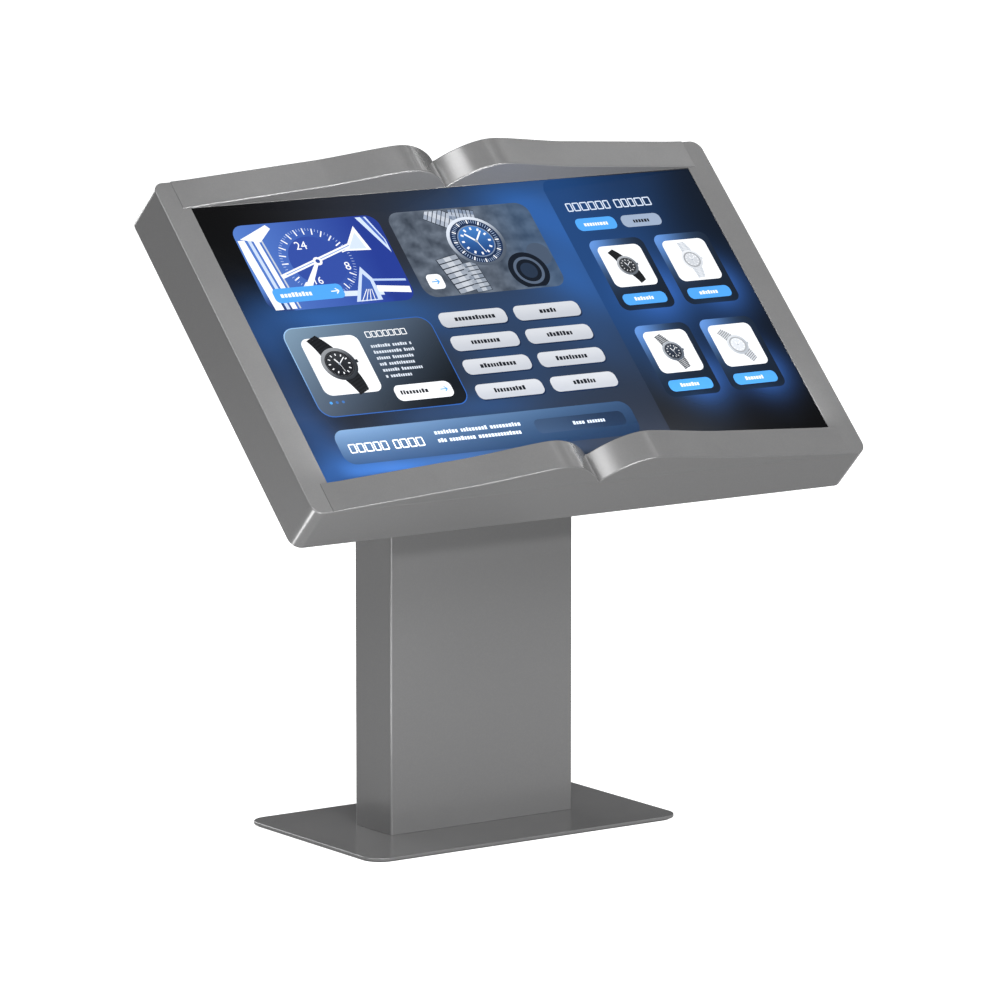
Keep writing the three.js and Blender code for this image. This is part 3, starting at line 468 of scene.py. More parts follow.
def coated_material(name, colour, flake_colour, roughness, metallic):
    """Satin powder coat: bright flakes, a slight orange peel, edges lightened by wear and by a painted
    highlight, and a little dust.
    """
    material, tree, shader = new_material(name)
    speckle = effect(tree, "Speckle", {"Scale": 620.0, "Patch Scale": 5.0})
    flakes = ranged(tree, speckle["Flakes"], 0.0, 0.7, 0.4, 1.0)
    base = mixed(tree, flakes, colour, flake_colour)
    cloudy = ranged(tree, speckle["Patches"], 0.0, 0.12)
    shaded = mixed(tree, cloudy, base, tuple(c * 0.8 for c in colour))
    # Painted highlight and wear: the rolled edges are lightened towards a pale flake colour.
    edge_wear_and_highlight = ranged(tree, effect(tree, "Edge wear and highlight")["Mask"], 0.0, 0.35)
    worn_and_highlit = mixed(tree, edge_wear_and_highlight, shaded, tuple(c * 1.6 for c in flake_colour))
    dust = effect(tree, "Settled dust", {"Amount": 0.05})["Mask"]
    dusty = mixed(tree, dust, worn_and_highlit, (0.42, 0.41, 0.39))
    rough = ranged(tree, speckle["Patches"], roughness - 0.035, roughness + 0.035, 0.3, 0.7)
    feed(tree, shader, {"Base Color": dusty, "Roughness": rough, "Metallic": metallic})
    bumped(tree, shader, speckle["Height"], 0.00003, 0.06)
    return material


def plated_material(name, colour, roughness, brushed=0.0, tint=None):
    """Bright plated or bare metal, with faint brush lines and tone patches."""
    material, tree, shader = new_material(name)
    patches = effect(tree, "Speckle", {"Scale": 900.0, "Patch Scale": 60.0})["Patches"]
    tone = mixed(tree, patches, colour, tint or tuple(c * 0.72 for c in colour))
    # Painted highlight and wear: the edges are lightened towards a brighter metal.
    edge_wear_and_highlight = ranged(tree, effect(tree, "Edge wear and highlight", {"Radius": 0.0006})["Mask"], 0.0, 0.5)
    worn_and_highlit = mixed(tree, edge_wear_and_highlight, tone, tuple(min(1, c * 1.35) for c in colour))
    stretch = put(tree, "ShaderNodeMapping", {"Vector": object_place(tree), "Scale": (40.0, 1400.0, 1400.0)})
    lines = noise_at(tree, 1.0, place=stretch.outputs["Vector"])
    rough = ranged(tree, lines, roughness - 0.05, roughness + 0.09, 0.3, 0.7)
    feed(tree, shader, {"Base Color": worn_and_highlit, "Roughness": rough, "Metallic": 1.0})
    if brushed:
        bumped(tree, shader, lines, 0.00003, brushed)
    return material


def moulded_material(name, colour, roughness, grain=900.0, depth=0.00005, specular=0.45):
    """Moulded plastic or rubber with a fine spark-eroded grain, paler on its edges from wear and from a
    painted highlight.
    """
    material, tree, shader = new_material(name)
    speckle = effect(tree, "Speckle", {"Scale": grain, "Patch Scale": 25.0})
    tone = mixed(tree, speckle["Patches"], colour, tuple(c * 1.5 + 0.004 for c in colour))
    # Painted highlight and wear: the edges are made paler.
    edge_wear_and_highlight = ranged(tree, effect(tree, "Edge wear and highlight", {"Radius": 0.0005})["Mask"], 0.0, 0.4)
    worn_and_highlit = mixed(tree, edge_wear_and_highlight, tone, tuple(c * 2.2 + 0.02 for c in colour))
    dust = effect(tree, "Settled dust", {"Amount": 0.12})["Mask"]
    dusty = mixed(tree, dust, worn_and_highlit, (0.35, 0.34, 0.32))
    rough = ranged(tree, speckle["Flakes"], roughness - 0.06, roughness + 0.06)
    feed(tree, shader, {"Base Color": dusty, "Roughness": rough, "Specular IOR Level": specular})
    bumped(tree, shader, speckle["Height"], depth, 0.6)
    return material


def board_material(name):
    """Green circuit board with paler tracks and small dark parts."""
    material, tree, shader = new_material(name)
    place = put(tree, "ShaderNodeMapping", {"Vector": object_place(tree), "Rotation": (-TILT, 0, 0)})
    flat = place.outputs["Vector"]
    bricks = {"Vector": flat, "Scale": 260.0, "Mortar Size": 0.12}
    tracks = put(tree, "ShaderNodeTexBrick", bricks, offset=0.37)
    parts = put(tree, "ShaderNodeTexVoronoi", {"Vector": flat, "Scale": 90.0}, distance="CHEBYCHEV")
    chips = ranged(tree, parts.outputs["Distance"], 1.0, 0.0, 0.18, 0.2)
    green = mixed(tree, tracks.outputs["Fac"], (0.012, 0.075, 0.03), (0.05, 0.2, 0.08))
    colour = mixed(tree, chips, green, (0.012, 0.012, 0.013))
    feed(tree, shader, {"Base Color": colour, "Roughness": ranged(tree, chips, 0.3, 0.55)})
    bumped(tree, shader, chips, 0.0008, 0.8)
    return material


def smears_at(tree):
    """The faint smears that fingers leave on glass."""
    return noise_at(tree, 9.0, 5.0, 0.6, distortion=1.2)


def black_glass_material(name):
    """Toughened glass over a black border, with the faintest smears of fingers."""
    material, tree, shader = new_material(name)
    smears = smears_at(tree)
    black = mixed(tree, smears, (0.004, 0.0045, 0.005), (0.008, 0.009, 0.01))
    rough = ranged(tree, smears, 0.06, 0.14, 0.35, 0.7)
    feed(tree, shader, {"Base Color": black, "Roughness": rough, "Specular IOR Level": 0.12})
    return material


def lit_picture_material(name, brightness):
    """The display's light, in the colours that the picture's own points carry, behind smooth glass."""
    material, tree, shader = new_material(name)
    paint = put(tree, "ShaderNodeAttribute", attribute_name="paint").outputs["Color"]
    dim = mixed(tree, 0.92, paint, (0.0, 0.0, 0.0))
    rough = ranged(tree, smears_at(tree), 0.08, 0.16, 0.35, 0.7)
    feed(tree, shader, {"Base Color": dim, "Roughness": rough, "Specular IOR Level": 0.06})
    feed(tree, shader, {"Emission Color": paint, "Emission Strength": brightness})
    return material


def floor_material(name, lit):
    """Matt white studio floor, lit from below, with the slightest unevenness."""
    material, tree, shader = new_material(name)
    cloud = noise_at(tree, 0.7, 3.0)
    white = mixed(tree, cloud, (0.4, 0.4, 0.4), (0.43, 0.43, 0.43))
    rough = ranged(tree, cloud, 0.8, 0.95)
    feed(tree, shader, {"Base Color": white, "Roughness": rough, "Specular IOR Level": 0.1})
    seen = put(tree, "ShaderNodeLightPath").outputs["Is Camera Ray"]
    glow_strength = ranged(tree, seen, 0.0, lit)
    feed(tree, shader, {"Emission Color": (1.0, 1.0, 1.0, 1.0), "Emission Strength": glow_strength})
    return material


def slot_material(slot):
    """The finish of one of the record's material slots, made once."""
    name = "kiosk_" + slot
    if name in bpy.data.materials:
        return bpy.data.materials[name]
    coat = bpy.context.scene.kiosk.coat
    makers = {
        "powder_coat": lambda: coated_material(
            name, tuple(coat.colour), tuple(coat.flake_colour), coat.roughness, coat.metallic
        ),
        "zinc_steel": lambda: plated_material(name, (0.6, 0.61, 0.63), 0.32, 0.4, (0.52, 0.53, 0.5)),
        "chrome": lambda: plated_material(name, (0.78, 0.79, 0.8), 0.12),
        "aluminium": lambda: plated_material(name, (0.56, 0.57, 0.59), 0.36, 0.5),
        "black_plastic": lambda: moulded_material(name, (0.014, 0.014, 0.016), 0.48),
        "rubber": lambda: moulded_material(name, (0.016, 0.016, 0.016), 0.72, 1300.0, 0.00008, 0.3),
        "display_tray": lambda: moulded_material(name, (0.46, 0.47, 0.48), 0.5, 700.0, 0.00003),
        "circuit_board": lambda: board_material(name),
        "glass": lambda: black_glass_material(name),
        "display": lambda: black_glass_material(name),
    }
    return makers[slot]()


def polish_node(node, slot, edge):
    """Gives a CAD node that stays its finish and fine rolled edges."""
    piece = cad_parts[node]
    piece.data.materials.clear()
    piece.data.materials.append(slot_material(slot))
    piece.data.polygons.foreach_set("use_smooth", [True] * len(piece.data.polygons))
    weld = piece.modifiers.new("Weld", "WELD")
    weld.merge_threshold = 1e-5
    if edge:
        bevel = piece.modifiers.new("Rolled edges", "BEVEL")
        bevel.width = edge
        bevel.segments = 2
        bevel.limit_method = "ANGLE"
        bevel.angle_limit = math.radians(40)
        bevel.use_clamp_overlap = True
        bevel.harden_normals = False
    weigh_normals(piece)


# ---- Casing and pages ----

WINDOW_CORNER = 1 * MM
COVER_RIM = 1.7 * MM  # from the wall's rear edge to the return flange
FLANGE_W = 15 * MM

# One page's crest line, as (x from the spine, height over the bezel) in mm: two curves and a straight fall
PAGE_CURVES = (
    ((0.15, 0.3), (20, 26), (55, 50), (88, 49.4)),
    ((88, 49.4), (112, 49.4), (180, 34.6), (231, 27.6)),
)
PAGE_TIP = (484, 1.0)
CURVE_STEPS = 22
FALL_STEPS = 8
PAGE_SEAM = 0.12 * MM


def casing_section(settings):
    """The casing wall's outline as (inset in x, inset in v, w), from the window's edge round to itself."""
    low, high = head_box("front_shell")
    glass_high = head_box("touch_glass")[1]
    sheet, back = settings.sheet, low.z
    side = high.x - (glass_high.x - bpy.context.scene.kiosk.screen.lap)
    end = high.y - (glass_high.y - bpy.context.scene.kiosk.screen.lap)
    flange = back + COVER_RIM
    corners = (
        (Vector((side, end, 0)), 0.5 * MM),
        (Vector((0, 0, 0)), settings.edge_radius),
        (Vector((0, 0, back)), 0.6 * MM),
        (Vector((sheet, sheet, back)), 0.6 * MM),
        (Vector((sheet, sheet, flange)), 0),
        (Vector((FLANGE_W, FLANGE_W, flange)), 0.3 * MM),
        (Vector((FLANGE_W, FLANGE_W, flange + sheet)), 0.3 * MM),
        (Vector((sheet, sheet, flange + sheet)), 0),
        (Vector((sheet, sheet, -sheet)), 0),
        (Vector((side, end, -sheet)), 0.5 * MM),
    )
    return filleted(corners, settings.arc_steps)


def casing_mesh(settings):
    """The folded casing: bezel, walls and return flange as one ring."""
    high = head_box("front_shell")[1]
    loops = []
    for inset_x, inset_v, w in casing_section(settings):
        radius = max(settings.corner_radius - inset_x, WINDOW_CORNER)
        loop = rounded_rectangle(high.x - inset_x, high.y - inset_v, radius, 10)
        loops.append([(x, v, w) for x, v in loop])
    points, faces = lofted(loops, ring=True)
    return mesh_of("casing_front", points, faces, HEAD)


def bezier(a, b, c, d, t):
    """A point of a cubic curve."""
    s = 1 - t
    shares = (s * s * s, 3 * s * s * t, 3 * s * t * t, t * t * t)
    return tuple(sum(share * p for share, p in zip(shares, axis)) for axis in zip(a, b, c, d))


def page_line():
    """The crest line of a page as (x, w) in metres, from the spine to the tip."""
    line = []
    for curve in PAGE_CURVES:
        line += [bezier(*curve, k / CURVE_STEPS) for k in range(1 if line else 0, CURVE_STEPS + 1)]
    (x0, w0), (x1, w1) = line[-1], PAGE_TIP
    for k in range(1, FALL_STEPS + 1):
        share = k / FALL_STEPS
        line.append((x0 + (x1 - x0) * share, w0 + (w1 - w0) * share))
    return [Vector((x * MM, w * MM)) for x, w in line]


def page_rib(place, normal, inner, outer, edge, steps):
    """One rib of a page: up its inner wall, over both rolled edges and down its outer wall."""
    edge = min(edge, max(place.y - PAGE_SEAM, 0.05 * MM) * 0.8)
    rib = [(place.x, inner, PAGE_SEAM)]
    for wall, inward, order in ((inner, 1, range(steps + 1)), (outer, -1, range(steps, -1, -1))):
        for k in order:
            angle = k / steps * math.pi / 2
            drop = edge * (1 - math.sin(angle))
            across = edge * (1 - math.cos(angle))
            spot = place - normal * drop
            rib.append((spot.x, wall + inward * across, max(spot.y, PAGE_SEAM)))
    rib.append((place.x, outer, PAGE_SEAM))
    return rib


def page_mesh(name, side, up, settings):
    """One arched page. side is +1 for the right-hand page and up is +1 for one above the screen."""
    low, high = head_box("page_top_right")
    inner, outer = low.y, high.y
    line = page_line()
    ribs = []
    for i, place in enumerate(line):
        ahead, behind = line[min(i + 1, len(line) - 1)], line[max(i - 1, 0)]
        along = (ahead - behind).normalized()
        normal = Vector((-along.y, along.x))
        rib = page_rib(place, normal, inner, outer, settings.page_edge_radius, settings.arc_steps)
        ribs.append([(side * x, up * v, w) for x, v, w in rib])
    points, faces = lofted(ribs)
    return mesh_of(name, points, faces, HEAD)


# ---- Stand ----


def slope_height(y, w):
    """Height of a plane parallel to the screen, at a given y."""
    return HEAD_ORIGIN.z + math.tan(TILT) * (y - HEAD_ORIGIN.y) + w / math.cos(TILT)


def pillar_mesh(settings):
    """The pillar's folded sheet, open at the back between two lips and cut off level with the head's back."""
    low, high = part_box("pillar_shell")
    sheet = settings.sheet
    top = head_box("pillar_shell")[1].z
    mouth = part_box("rear_sill")[1].x + 0.3 * MM
    lip = high.y - 10.15 * MM
    fold, inner_fold = 3 * MM, 1 * MM
    right = (
        (Vector((high.x, low.y)), fold),
        (Vector((high.x, high.y)), fold),
        (Vector((mouth, high.y)), 1.5 * MM),
        (Vector((mouth, lip)), 0.5 * MM),
        (Vector((mouth + sheet, lip)), 0.5 * MM),
        (Vector((mouth + sheet, high.y - sheet)), 0.5 * MM),
        (Vector((high.x - sheet, high.y - sheet)), inner_fold),
        (Vector((high.x - sheet, low.y + sheet)), inner_fold),
    )
    left = [(Vector((-p.x, p.y)), r) for p, r in reversed(right)]
    outline = filleted([*right, *left], settings.arc_steps)
    bottom = [(x, y, low.z) for x, y in outline]
    cut = [(x, y, slope_height(y, top)) for x, y in outline]
    points, faces = lofted([bottom, cut])
    return mesh_of("pillar_body", points, faces)


# ---- Picture ----

HUES = {
    "black": (4, 4, 5),
    "night": (38, 41, 49),
    "royal": (44, 90, 156),
    "deep": (30, 66, 117),
    "navy": (20, 31, 46),
    "sky": (98, 146, 216),
    "cyan": (78, 160, 238),
    "pale": (191, 199, 211),
    "white": (246, 248, 251),
    "ink": (24, 28, 36),
    "steel": (160, 168, 180),
    "slate": (122, 148, 170),
    "graphite": (17, 23, 30),
}

LEFT = -420  # left edge of the cards and the banner
SPLIT = -152  # right edge of the left-hand cards
MIDDLE = -134, 131  # second column
ROW_TOP = 57, 225
ROW_LOW = -145, 23
BANNER = (-420, 127, -236, -171)
PANEL_X = 178
TILE_W, TILE_H = 105, 141
TILE_X = 207, 333
TILE_V = -3, -175
CARD_R = 22
CARD_RIM = 3
TILE_R = 15
PILL_V = 12, -34, -80, -128
PILL_X = (-133, -9), (7, 130)
PILL_H = 29


def shade(hue):
    """A hue's name, or red, green and blue of 255, as linear light."""
    values = HUES[hue] if isinstance(hue, str) else hue
    return tuple((c / 255 / 12.92) if c <= 10 else ((c / 255 + 0.055) / 1.055) ** 2.4 for c in values)


def between(a, b, share):
    """A hue between two, by a share from 0 to 1."""
    share = max(0.0, min(1.0, share))
    a, b = (HUES[h] if isinstance(h, str) else h for h in (a, b))
    return tuple(p + (q - p) * share for p, q in zip(a, b))


def step_up(low, high, value):
    """0 below low and 1 above high, smooth between. high may be the lower number."""
    share = max(0.0, min(1.0, (value - low) / (high - low)))
    return share * share * (3 - 2 * share)


def clipped(points, box):
    """A convex outline cut to a box of (left, right, bottom, top)."""
    for axis, limit, keep in ((0, box[0], 1), (0, box[1], -1), (1, box[2], 1), (1, box[3], -1)):
        kept = []
        for i, point in enumerate(points):
            last = points[i - 1]
            inside, was_inside = ((p[axis] - limit) * keep >= 0 for p in (point, last))
            if inside != was_inside:
                share = (limit - last[axis]) / (point[axis] - last[axis])
                kept.append(tuple(a + (b - a) * share for a, b in zip(last, point)))
            if inside:
                kept.append(point)
        points = kept
        if len(points) < 3:
            return []
    return points


class Artwork:
    """Flat shapes on the screen, in millimetres from its centre. Each has a layer and its own paint."""

    def __init__(self, half_w, half_h):
        self.screen = (-half_w, half_w, -half_h, half_h)
        self.points, self.faces, self.paint = [], [], []

    def lay(self, spots, layer, hue):
        """Points on a layer, with their paint."""
        for x, v in spots:
            self.points.append((x, v, layer))
            self.paint.append(shade(hue(x, v) if callable(hue) else hue))

    def shape(self, outline, layer, hue, within=None):
        """A convex outline in one hue, or in the hues that a function of (x, v) gives."""
        outline = clipped(list(outline), within or self.screen)
        if not outline:
            return
        start = len(self.points)
        self.lay(outline, layer, hue)
        self.faces.append(tuple(range(start, len(self.points))))

    def rows(self, rows, layer, hue):
        """A patch through rows of points."""
        start, count = len(self.points), len(rows[0])
        for row in rows:
            self.lay(row, layer, hue)
        for i in range(len(rows) - 1):
            for k in range(count - 1):
                a = start + i * count + k
                self.faces.append((a, a + 1, a + count + 1, a + count))

    def card(self, box, radius, layer, hue, cell=6):
        """A rounded rectangle, finely divided so that its hue may change across it."""
        left, right, bottom, top = box
        turn = [radius * (1 - math.cos(k / 6 * math.pi / 2)) for k in range(7)]
        across = max(1, round((right - left - 2 * radius) / cell))
        xs = [left + t for t in turn]
        xs += [left + radius + (right - left - 2 * radius) * k / across for k in range(1, across)]
        xs += [right - t for t in reversed(turn)]
        up = max(2, round((top - bottom) / cell))
        rows = []
        for x in xs:
            off = max(0.0, radius - min(x - left, right - x))
            inset = radius - math.sqrt(max(0.0, radius * radius - off * off))
            rows.append([(x, bottom + inset + (top - bottom - 2 * inset) * k / up) for k in range(up + 1)])
        self.rows(rows, layer, hue)

    def ring(self, centre, inner, outer, layer, hue, within=None, steps=40, squeeze=1.0, sweep=(0, 360)):
        """A ring or an arc of one. squeeze flattens it up the screen."""
        x0, v0 = centre
        angles = [math.radians(sweep[0] + (sweep[1] - sweep[0]) * k / steps) for k in range(steps + 1)]
        for a, b in zip(angles, angles[1:]):
            outline = [
                (x0 + r * math.cos(t), v0 + r * math.sin(t) * squeeze)
                for r, t in ((inner, a), (outer, a), (outer, b), (inner, b))
            ]
            self.shape(outline, layer, hue, within)

    def stroke(self, a, b, width, layer, hue, within=None, end_width=None):
        """A straight band from a to b."""
        a, b = Vector(a), Vector(b)
        side = (b - a).normalized().orthogonal()
        far = width if end_width is None else end_width
        outline = (a + side * width / 2, a - side * width / 2, b - side * far / 2, b + side * far / 2)
        self.shape([tuple(p) for p in outline], layer, hue, within)

    def ticks(self, centre, inner, outer, count, width, layer, hue, within=None, skip=()):
        """Straight marks round a centre."""
        for k in range(count):
            if k in skip:
                continue
            angle = math.pi / 2 - k / count * 2 * math.pi
            way = Vector((math.cos(angle), math.sin(angle)))
            middle = Vector(centre)
            self.stroke(middle + way * inner, middle + way * outer, width, layer, hue, within)

    def words(self, x, v, height, lengths, layer, hue, seed=0, gap=0.75):
        """A line of stand-in text: plain blocks in words of the given lengths, which spell nothing."""
        chance = random.Random(seed)
        for length in lengths:
            for _ in range(length):
                width = height * chance.choice((0.5, 0.62, 0.62, 0.74))
                rise = height * chance.choice((0.92, 0.92, 0.92, 1.12))
                self.shape([(x, v), (x + width, v), (x + width, v + rise), (x, v + rise)], layer, hue)
                x += width + height * 0.22
            x += height * gap
        return x

    def heading(self, x, v, height, lengths, layer, hue, seed=0):
        """A large line of stand-in text: thin empty boxes, which spell nothing."""
        chance = random.Random(seed)
        pen = height * 0.14
        for length in lengths:
            for _ in range(length):
                width = height * chance.choice((0.6, 0.7, 0.8))
                corners = [(x, v), (x + width, v), (x + width, v + height), (x, v + height)]
                for a, b in zip(corners, corners[1:] + corners[:1]):
                    self.stroke(a, b, pen, layer, hue)
                x += width + height * 0.26
            x += height * 0.55

    def arrow(self, x, v, length, layer, hue):
        """A thin arrow that points right."""
        self.stroke((x, v), (x + length, v), length * 0.14, layer, hue)
        for way in (1, -1):
            barb = (x + length * 0.62, v + way * length * 0.36)
            self.stroke(barb, (x + length, v), length * 0.14, layer, hue)

    def mesh(self, name, face, step):
        """The shapes as one mesh at the glass's face, with their paint on its points."""
        mesh = bpy.data.meshes.new(name)
        spots = [HEAD @ Vector((x * MM, v * MM, face + step * (layer + 2))) for x, v, layer in self.points]
        mesh.from_pydata(spots, [], self.faces)
        paint = mesh.attributes.new("paint", "FLOAT_COLOR", "POINT")
        paint.data.foreach_set("color", [c for rgb in self.paint for c in (*rgb, 1.0)])
        out = (TURN @ Vector((0, 0, 1, 0))).xyz
        flipped = [p.index for p in mesh.polygons if p.normal.dot(out) < 0]
        if flipped:
            bm = bmesh.new()
            bm.from_mesh(mesh)
            bm.faces.ensure_lookup_table()
            bmesh.ops.reverse_faces(bm, faces=[bm.faces[i] for i in flipped])
            bm.to_mesh(mesh)
            bm.free()
        return mesh


def glow(x, v, centre, spread):
    """A soft round glow, 1 at its centre."""
    return math.exp(-(((x - centre[0]) / spread[0]) ** 2) - ((v - centre[1]) / spread[1]) ** 2)


# Glows of the background, as (strength, centre, spread)
BACKDROP_GLOWS = (
    (1.0, (165, 130), (130, 210)),
    (0.95, (-300, 40), (200, 62)),
    (0.95, (-330, -262), (230, 62)),
    (0.62, (-455, -120), (60, 170)),
    (0.35, (40, 225), (150, 50)),
    (0.4, (-60, -70), (120, 120)),
    (0.42, (-200, -155), (150, 30)),
)


def backdrop(x, v):
    """The menu's background: near black at the top left, lit by blue glows."""
    base = between("black", "night", step_up(-470, -160, x))
    light = sum(strength * glow(x, v, centre, spread) for strength, centre, spread in BACKDROP_GLOWS)
    beam = 0.06 * math.sin((x * 0.8 + v) * 0.045)
    return between(base, "royal", min(light, 1.0) * (0.95 + beam))


def panel_paint(x, v):
    """The right-hand panel: blue at its left, black at its lower right, with one paler slanting band."""
    along = step_up(180, 500, x)
    down = step_up(25, -215, v)
    blue = between("deep", (9, 18, 30), along * 0.95)
    floor = between((28, 30, 34), "black", step_up(180, 400, x))
    band = 0.16 * glow(x - 0.5 * v, 0, (250, 0), (60, 1))
    halo = 0
    for tile_x in TILE_X:
        for tile_v in TILE_V:
            halo += glow(x, v, (tile_x + TILE_W * 0.72, tile_v + TILE_H * 0.24), (54, 56))
    lit = between(between(blue, floor, down), "royal", band * (1 - down))
    return between(lit, (56, 108, 196), min(0.9, halo * 0.85))


def slate_paint(x, v):
    """The lower left card: pale at its top left, almost black at its lower right."""
    share = ((x - LEFT) / 268 + (ROW_LOW[1] - v) / 168 * 0.85) / 1.7
    if share < 0.5:
        return between("slate", (70, 84, 102), share / 0.5)
    return between((70, 84, 102), "graphite", (share - 0.5) / 0.42)


def banner_paint(x, v):
    """The banner: lighter at its top left."""
    across = (x - BANNER[0]) / (BANNER[1] - BANNER[0])
    up = (v - BANNER[2]) / (BANNER[3] - BANNER[2])
    top = between((122, 158, 199), (48, 73, 106), across)
    bottom = between((40, 66, 102), (19, 36, 60), across)
    return between(bottom, top, up)


def tile_paint(corner):
    """A tile's dark fill, with blue light in its top left corner."""

    def paint(x, v):
        near = glow(x, v, (corner[0] - 2, corner[1] + 4), (62, 74))
        foot = 0.3 * glow(x, v, (corner[0] + 52, corner[1] - TILE_H - 6), (34, 14))
        return between(between("navy", "sky", near), "royal", foot)

    return paint


def draw_watch(art, centre, size, turn, face, rim, strap, layer, style="bracelet"):
    """A plain wristwatch: strap or bracelet, case, dial with ticks, and two hands."""
    middle = Vector(centre)
    along = Vector((math.cos(turn), math.sin(turn)))
    side = along.orthogonal()
    linked = style == "bracelet"
    rows, link = (7, 0.82) if linked else (12, 1)
    darker = between(strap, "black", 0.35)

    def rim_paint(x, v):
        return between(rim, "white", 0.5 * step_up(-size, size, (v - centre[1]) - (x - centre[0])))

    def face_paint(x, v):
        return between(face, "white", 0.16 * step_up(-size, size, v - centre[1]))

    for way in (1, -1):
        for k in range(rows):
            near, far = size * (0.86 + 1.05 * k / rows), size * (0.86 + 1.05 * (k + link) / rows)
            width = size * (1.0 - 0.32 * k / rows)
            bend = side * size * 0.16 * (k / rows) ** 2
            a, b = middle + way * along * near + bend, middle + way * along * far + bend
            art.stroke(a, b, width, layer, strap if linked or k % 2 == 0 else darker)
            if linked:
                art.stroke(a, b, width * 0.38, layer + 1, between(strap, "white", 0.28))
    art.ring(centre, 0, size, layer + 2, rim_paint)
    art.ring(centre, 0, size * 0.8, layer + 3, between(face, "black", 0.3))
    art.ring(centre, 0, size * 0.68, layer + 4, face_paint)
    art.ticks(centre, size * 0.71, size * 0.78, 60, size * 0.018, layer + 4, between(rim, "white", 0.3))
    art.ticks(centre, size * 0.5, size * 0.63, 12, size * 0.06, layer + 5, "white")
    for angle, length, width in ((2.1, 0.36, 0.07), (0.75, 0.55, 0.05), (-1.3, 0.5, 0.02)):
        tip = middle + Vector((math.cos(angle), math.sin(angle))) * size * length
        art.stroke(middle, tip, size * width, layer + 6, "white")
    art.ring(centre, 0, size * 0.07, layer + 7, "steel", steps=12)
    crown = middle + Vector((1, 0.08)) * size * 0.98
    art.stroke(crown, crown + Vector((size * 0.14, size * 0.01)), size * 0.2, layer + 2, rim)


def inside(box):
    """A box drawn in by the rim that shapes on a card keep clear of."""
    left, right, bottom, top = box
    return left + CARD_RIM, right - CARD_RIM, bottom + CARD_RIM, top - CARD_RIM


# The dial card's shapes, as (outline, layer, hue), and its bands, as (start, end, width, layer, hue)
DIAL_SHAPES = (
    (((-412, 198), (-356, 222), (-350, 214), (-378, 190)), 3, "white"),
    (((-238, 160), (-202, 206), (-190, 158)), 4, "white"),
    (((-229, 163), (-205, 194), (-197, 161)), 5, (204, 218, 244)),
    (((-262, 62), (-226, 128), (-214, 104), (-214, 62)), 4, (196, 212, 240)),
    (((-254, 64), (-228, 114), (-220, 100), (-222, 64)), 5, (60, 92, 170)),
    (((-192, 224), (-172, 224), (-156, 176), (-156, 150)), 3, (204, 220, 246)),
    (((-182, 224), (-176, 224), (-158, 176), (-158, 164)), 4, (70, 100, 180)),
)
DIAL_BANDS = (
    ((-402, 86), (-206, 76), 10, 2, (210, 222, 242)),
    ((-371, 121), (-218, 173), 7.5, 4, "white"),
    ((-362, 124), (-226, 170), 1.6, 5, (120, 150, 208)),
    ((-214, 84), (-156, 77), 12, 3, "white"),
    ((-214, 101), (-156, 96), 4, 3, (176, 198, 236)),
)
DIAL_EDGE_BARS = ((-420, 15, "white"), (-400, 6, (196, 212, 238)), (-390, 9, "white"), (-377, 3, "pale"))
DIAL_NUMERALS = (("24", -322, 170, 22), ("8", -252, 124, 22), ("16", -322, 102, 20))


def draw_dial_card(art):
    """A close view of a blue dial with a small 24-hour dial, applied marks and a broad hand."""
    box = (LEFT, SPLIT, *ROW_TOP)
    inner = inside(box)

    def paint(x, v):
        across = (x - box[0]) / (box[1] - box[0])
        sheen = 0.5 * glow(x + 0.6 * v, 0, (-250, 0), (60, 1))
        blue = between((84, 124, 196), (34, 56, 140), across * 1.15)
        if sheen < 0.05:
            return between(blue, (24, 40, 84), 0.75 * step_up(105, 62, v) * (1 - across))
        return between(blue, (70, 104, 184), sheen * 0.5)

    art.card(box, CARD_R, 0, paint)
    centre = (-295, 145)
    art.ring(centre, 0, 49, 1, (48, 74, 156), inner)
    art.ticks(centre, 53, 65, 24, 2.2, 2, "white", inner, (6, 7))
    art.ticks(centre, 60, 65, 72, 0.8, 2, (186, 204, 238), inner)
    for left, width, hue in DIAL_EDGE_BARS:
        art.shape([(left + 10, 60), (left + width + 10, 60), (left + width, 196), (left, 196)], 2, hue, inner)
    for outline, layer, hue in DIAL_SHAPES:
        art.shape(outline, layer, hue, inner)
    for start, end, width, layer, hue in DIAL_BANDS:
        art.stroke(start, end, width, layer, hue, inner)
    art.stroke((-334, 96), (-293, 148), 11, 4, "white", inner, 5)
    art.ring(centre, 0, 8, 5, "white", inner, 20)
    art.ring(centre, 0, 4, 6, (46, 74, 150), inner, 14)
    for k in range(4):
        art.stroke((-252 + 8 * k, 62), (-234 + 3 * k, 84), 1.2, 6, "white", inner)
    for text, x, v, size in DIAL_NUMERALS:
        draw_numeral(art, text, x, v, size, 3)
    art.card((-402, -276, 72, 100), 9, 7, "cyan")
    art.words(-390, 82, 7.4, (9,), 8, "white", 12)
    art.arrow(-298, 86, 14, 8, "white")


def draw_numeral(art, text, x, v, size, layer):
    """A number of a dial, cut from the built-in letters."""
    curve = bpy.data.curves.new("numeral", "FONT")
    curve.body = text
    curve.size = size
    curve.resolution_u = 3
    holder = bpy.data.objects.new("numeral", curve)
    bpy.context.scene.collection.objects.link(holder)
    flat = holder.evaluated_get(bpy.context.evaluated_depsgraph_get()).to_mesh()
    for face in flat.polygons:
        corners = [flat.vertices[i].co for i in face.vertices]
        art.shape([(x + corner.x, v + corner.y) for corner in corners], layer, "white")
    bpy.data.objects.remove(holder)
    bpy.data.curves.remove(curve)


# The bracelet's lengths, as (start, end, width, hue)
DIVER_BRACELET = (
    ((-62, 222), (-18, 196), 34, (150, 160, 176)),
    ((-20, 214), (26, 204), 26, (118, 132, 154)),
    ((-64, 132), (-50, 62), 44, (150, 158, 170)),
    ((-30, 118), (-24, 60), 30, (128, 138, 152)),
)


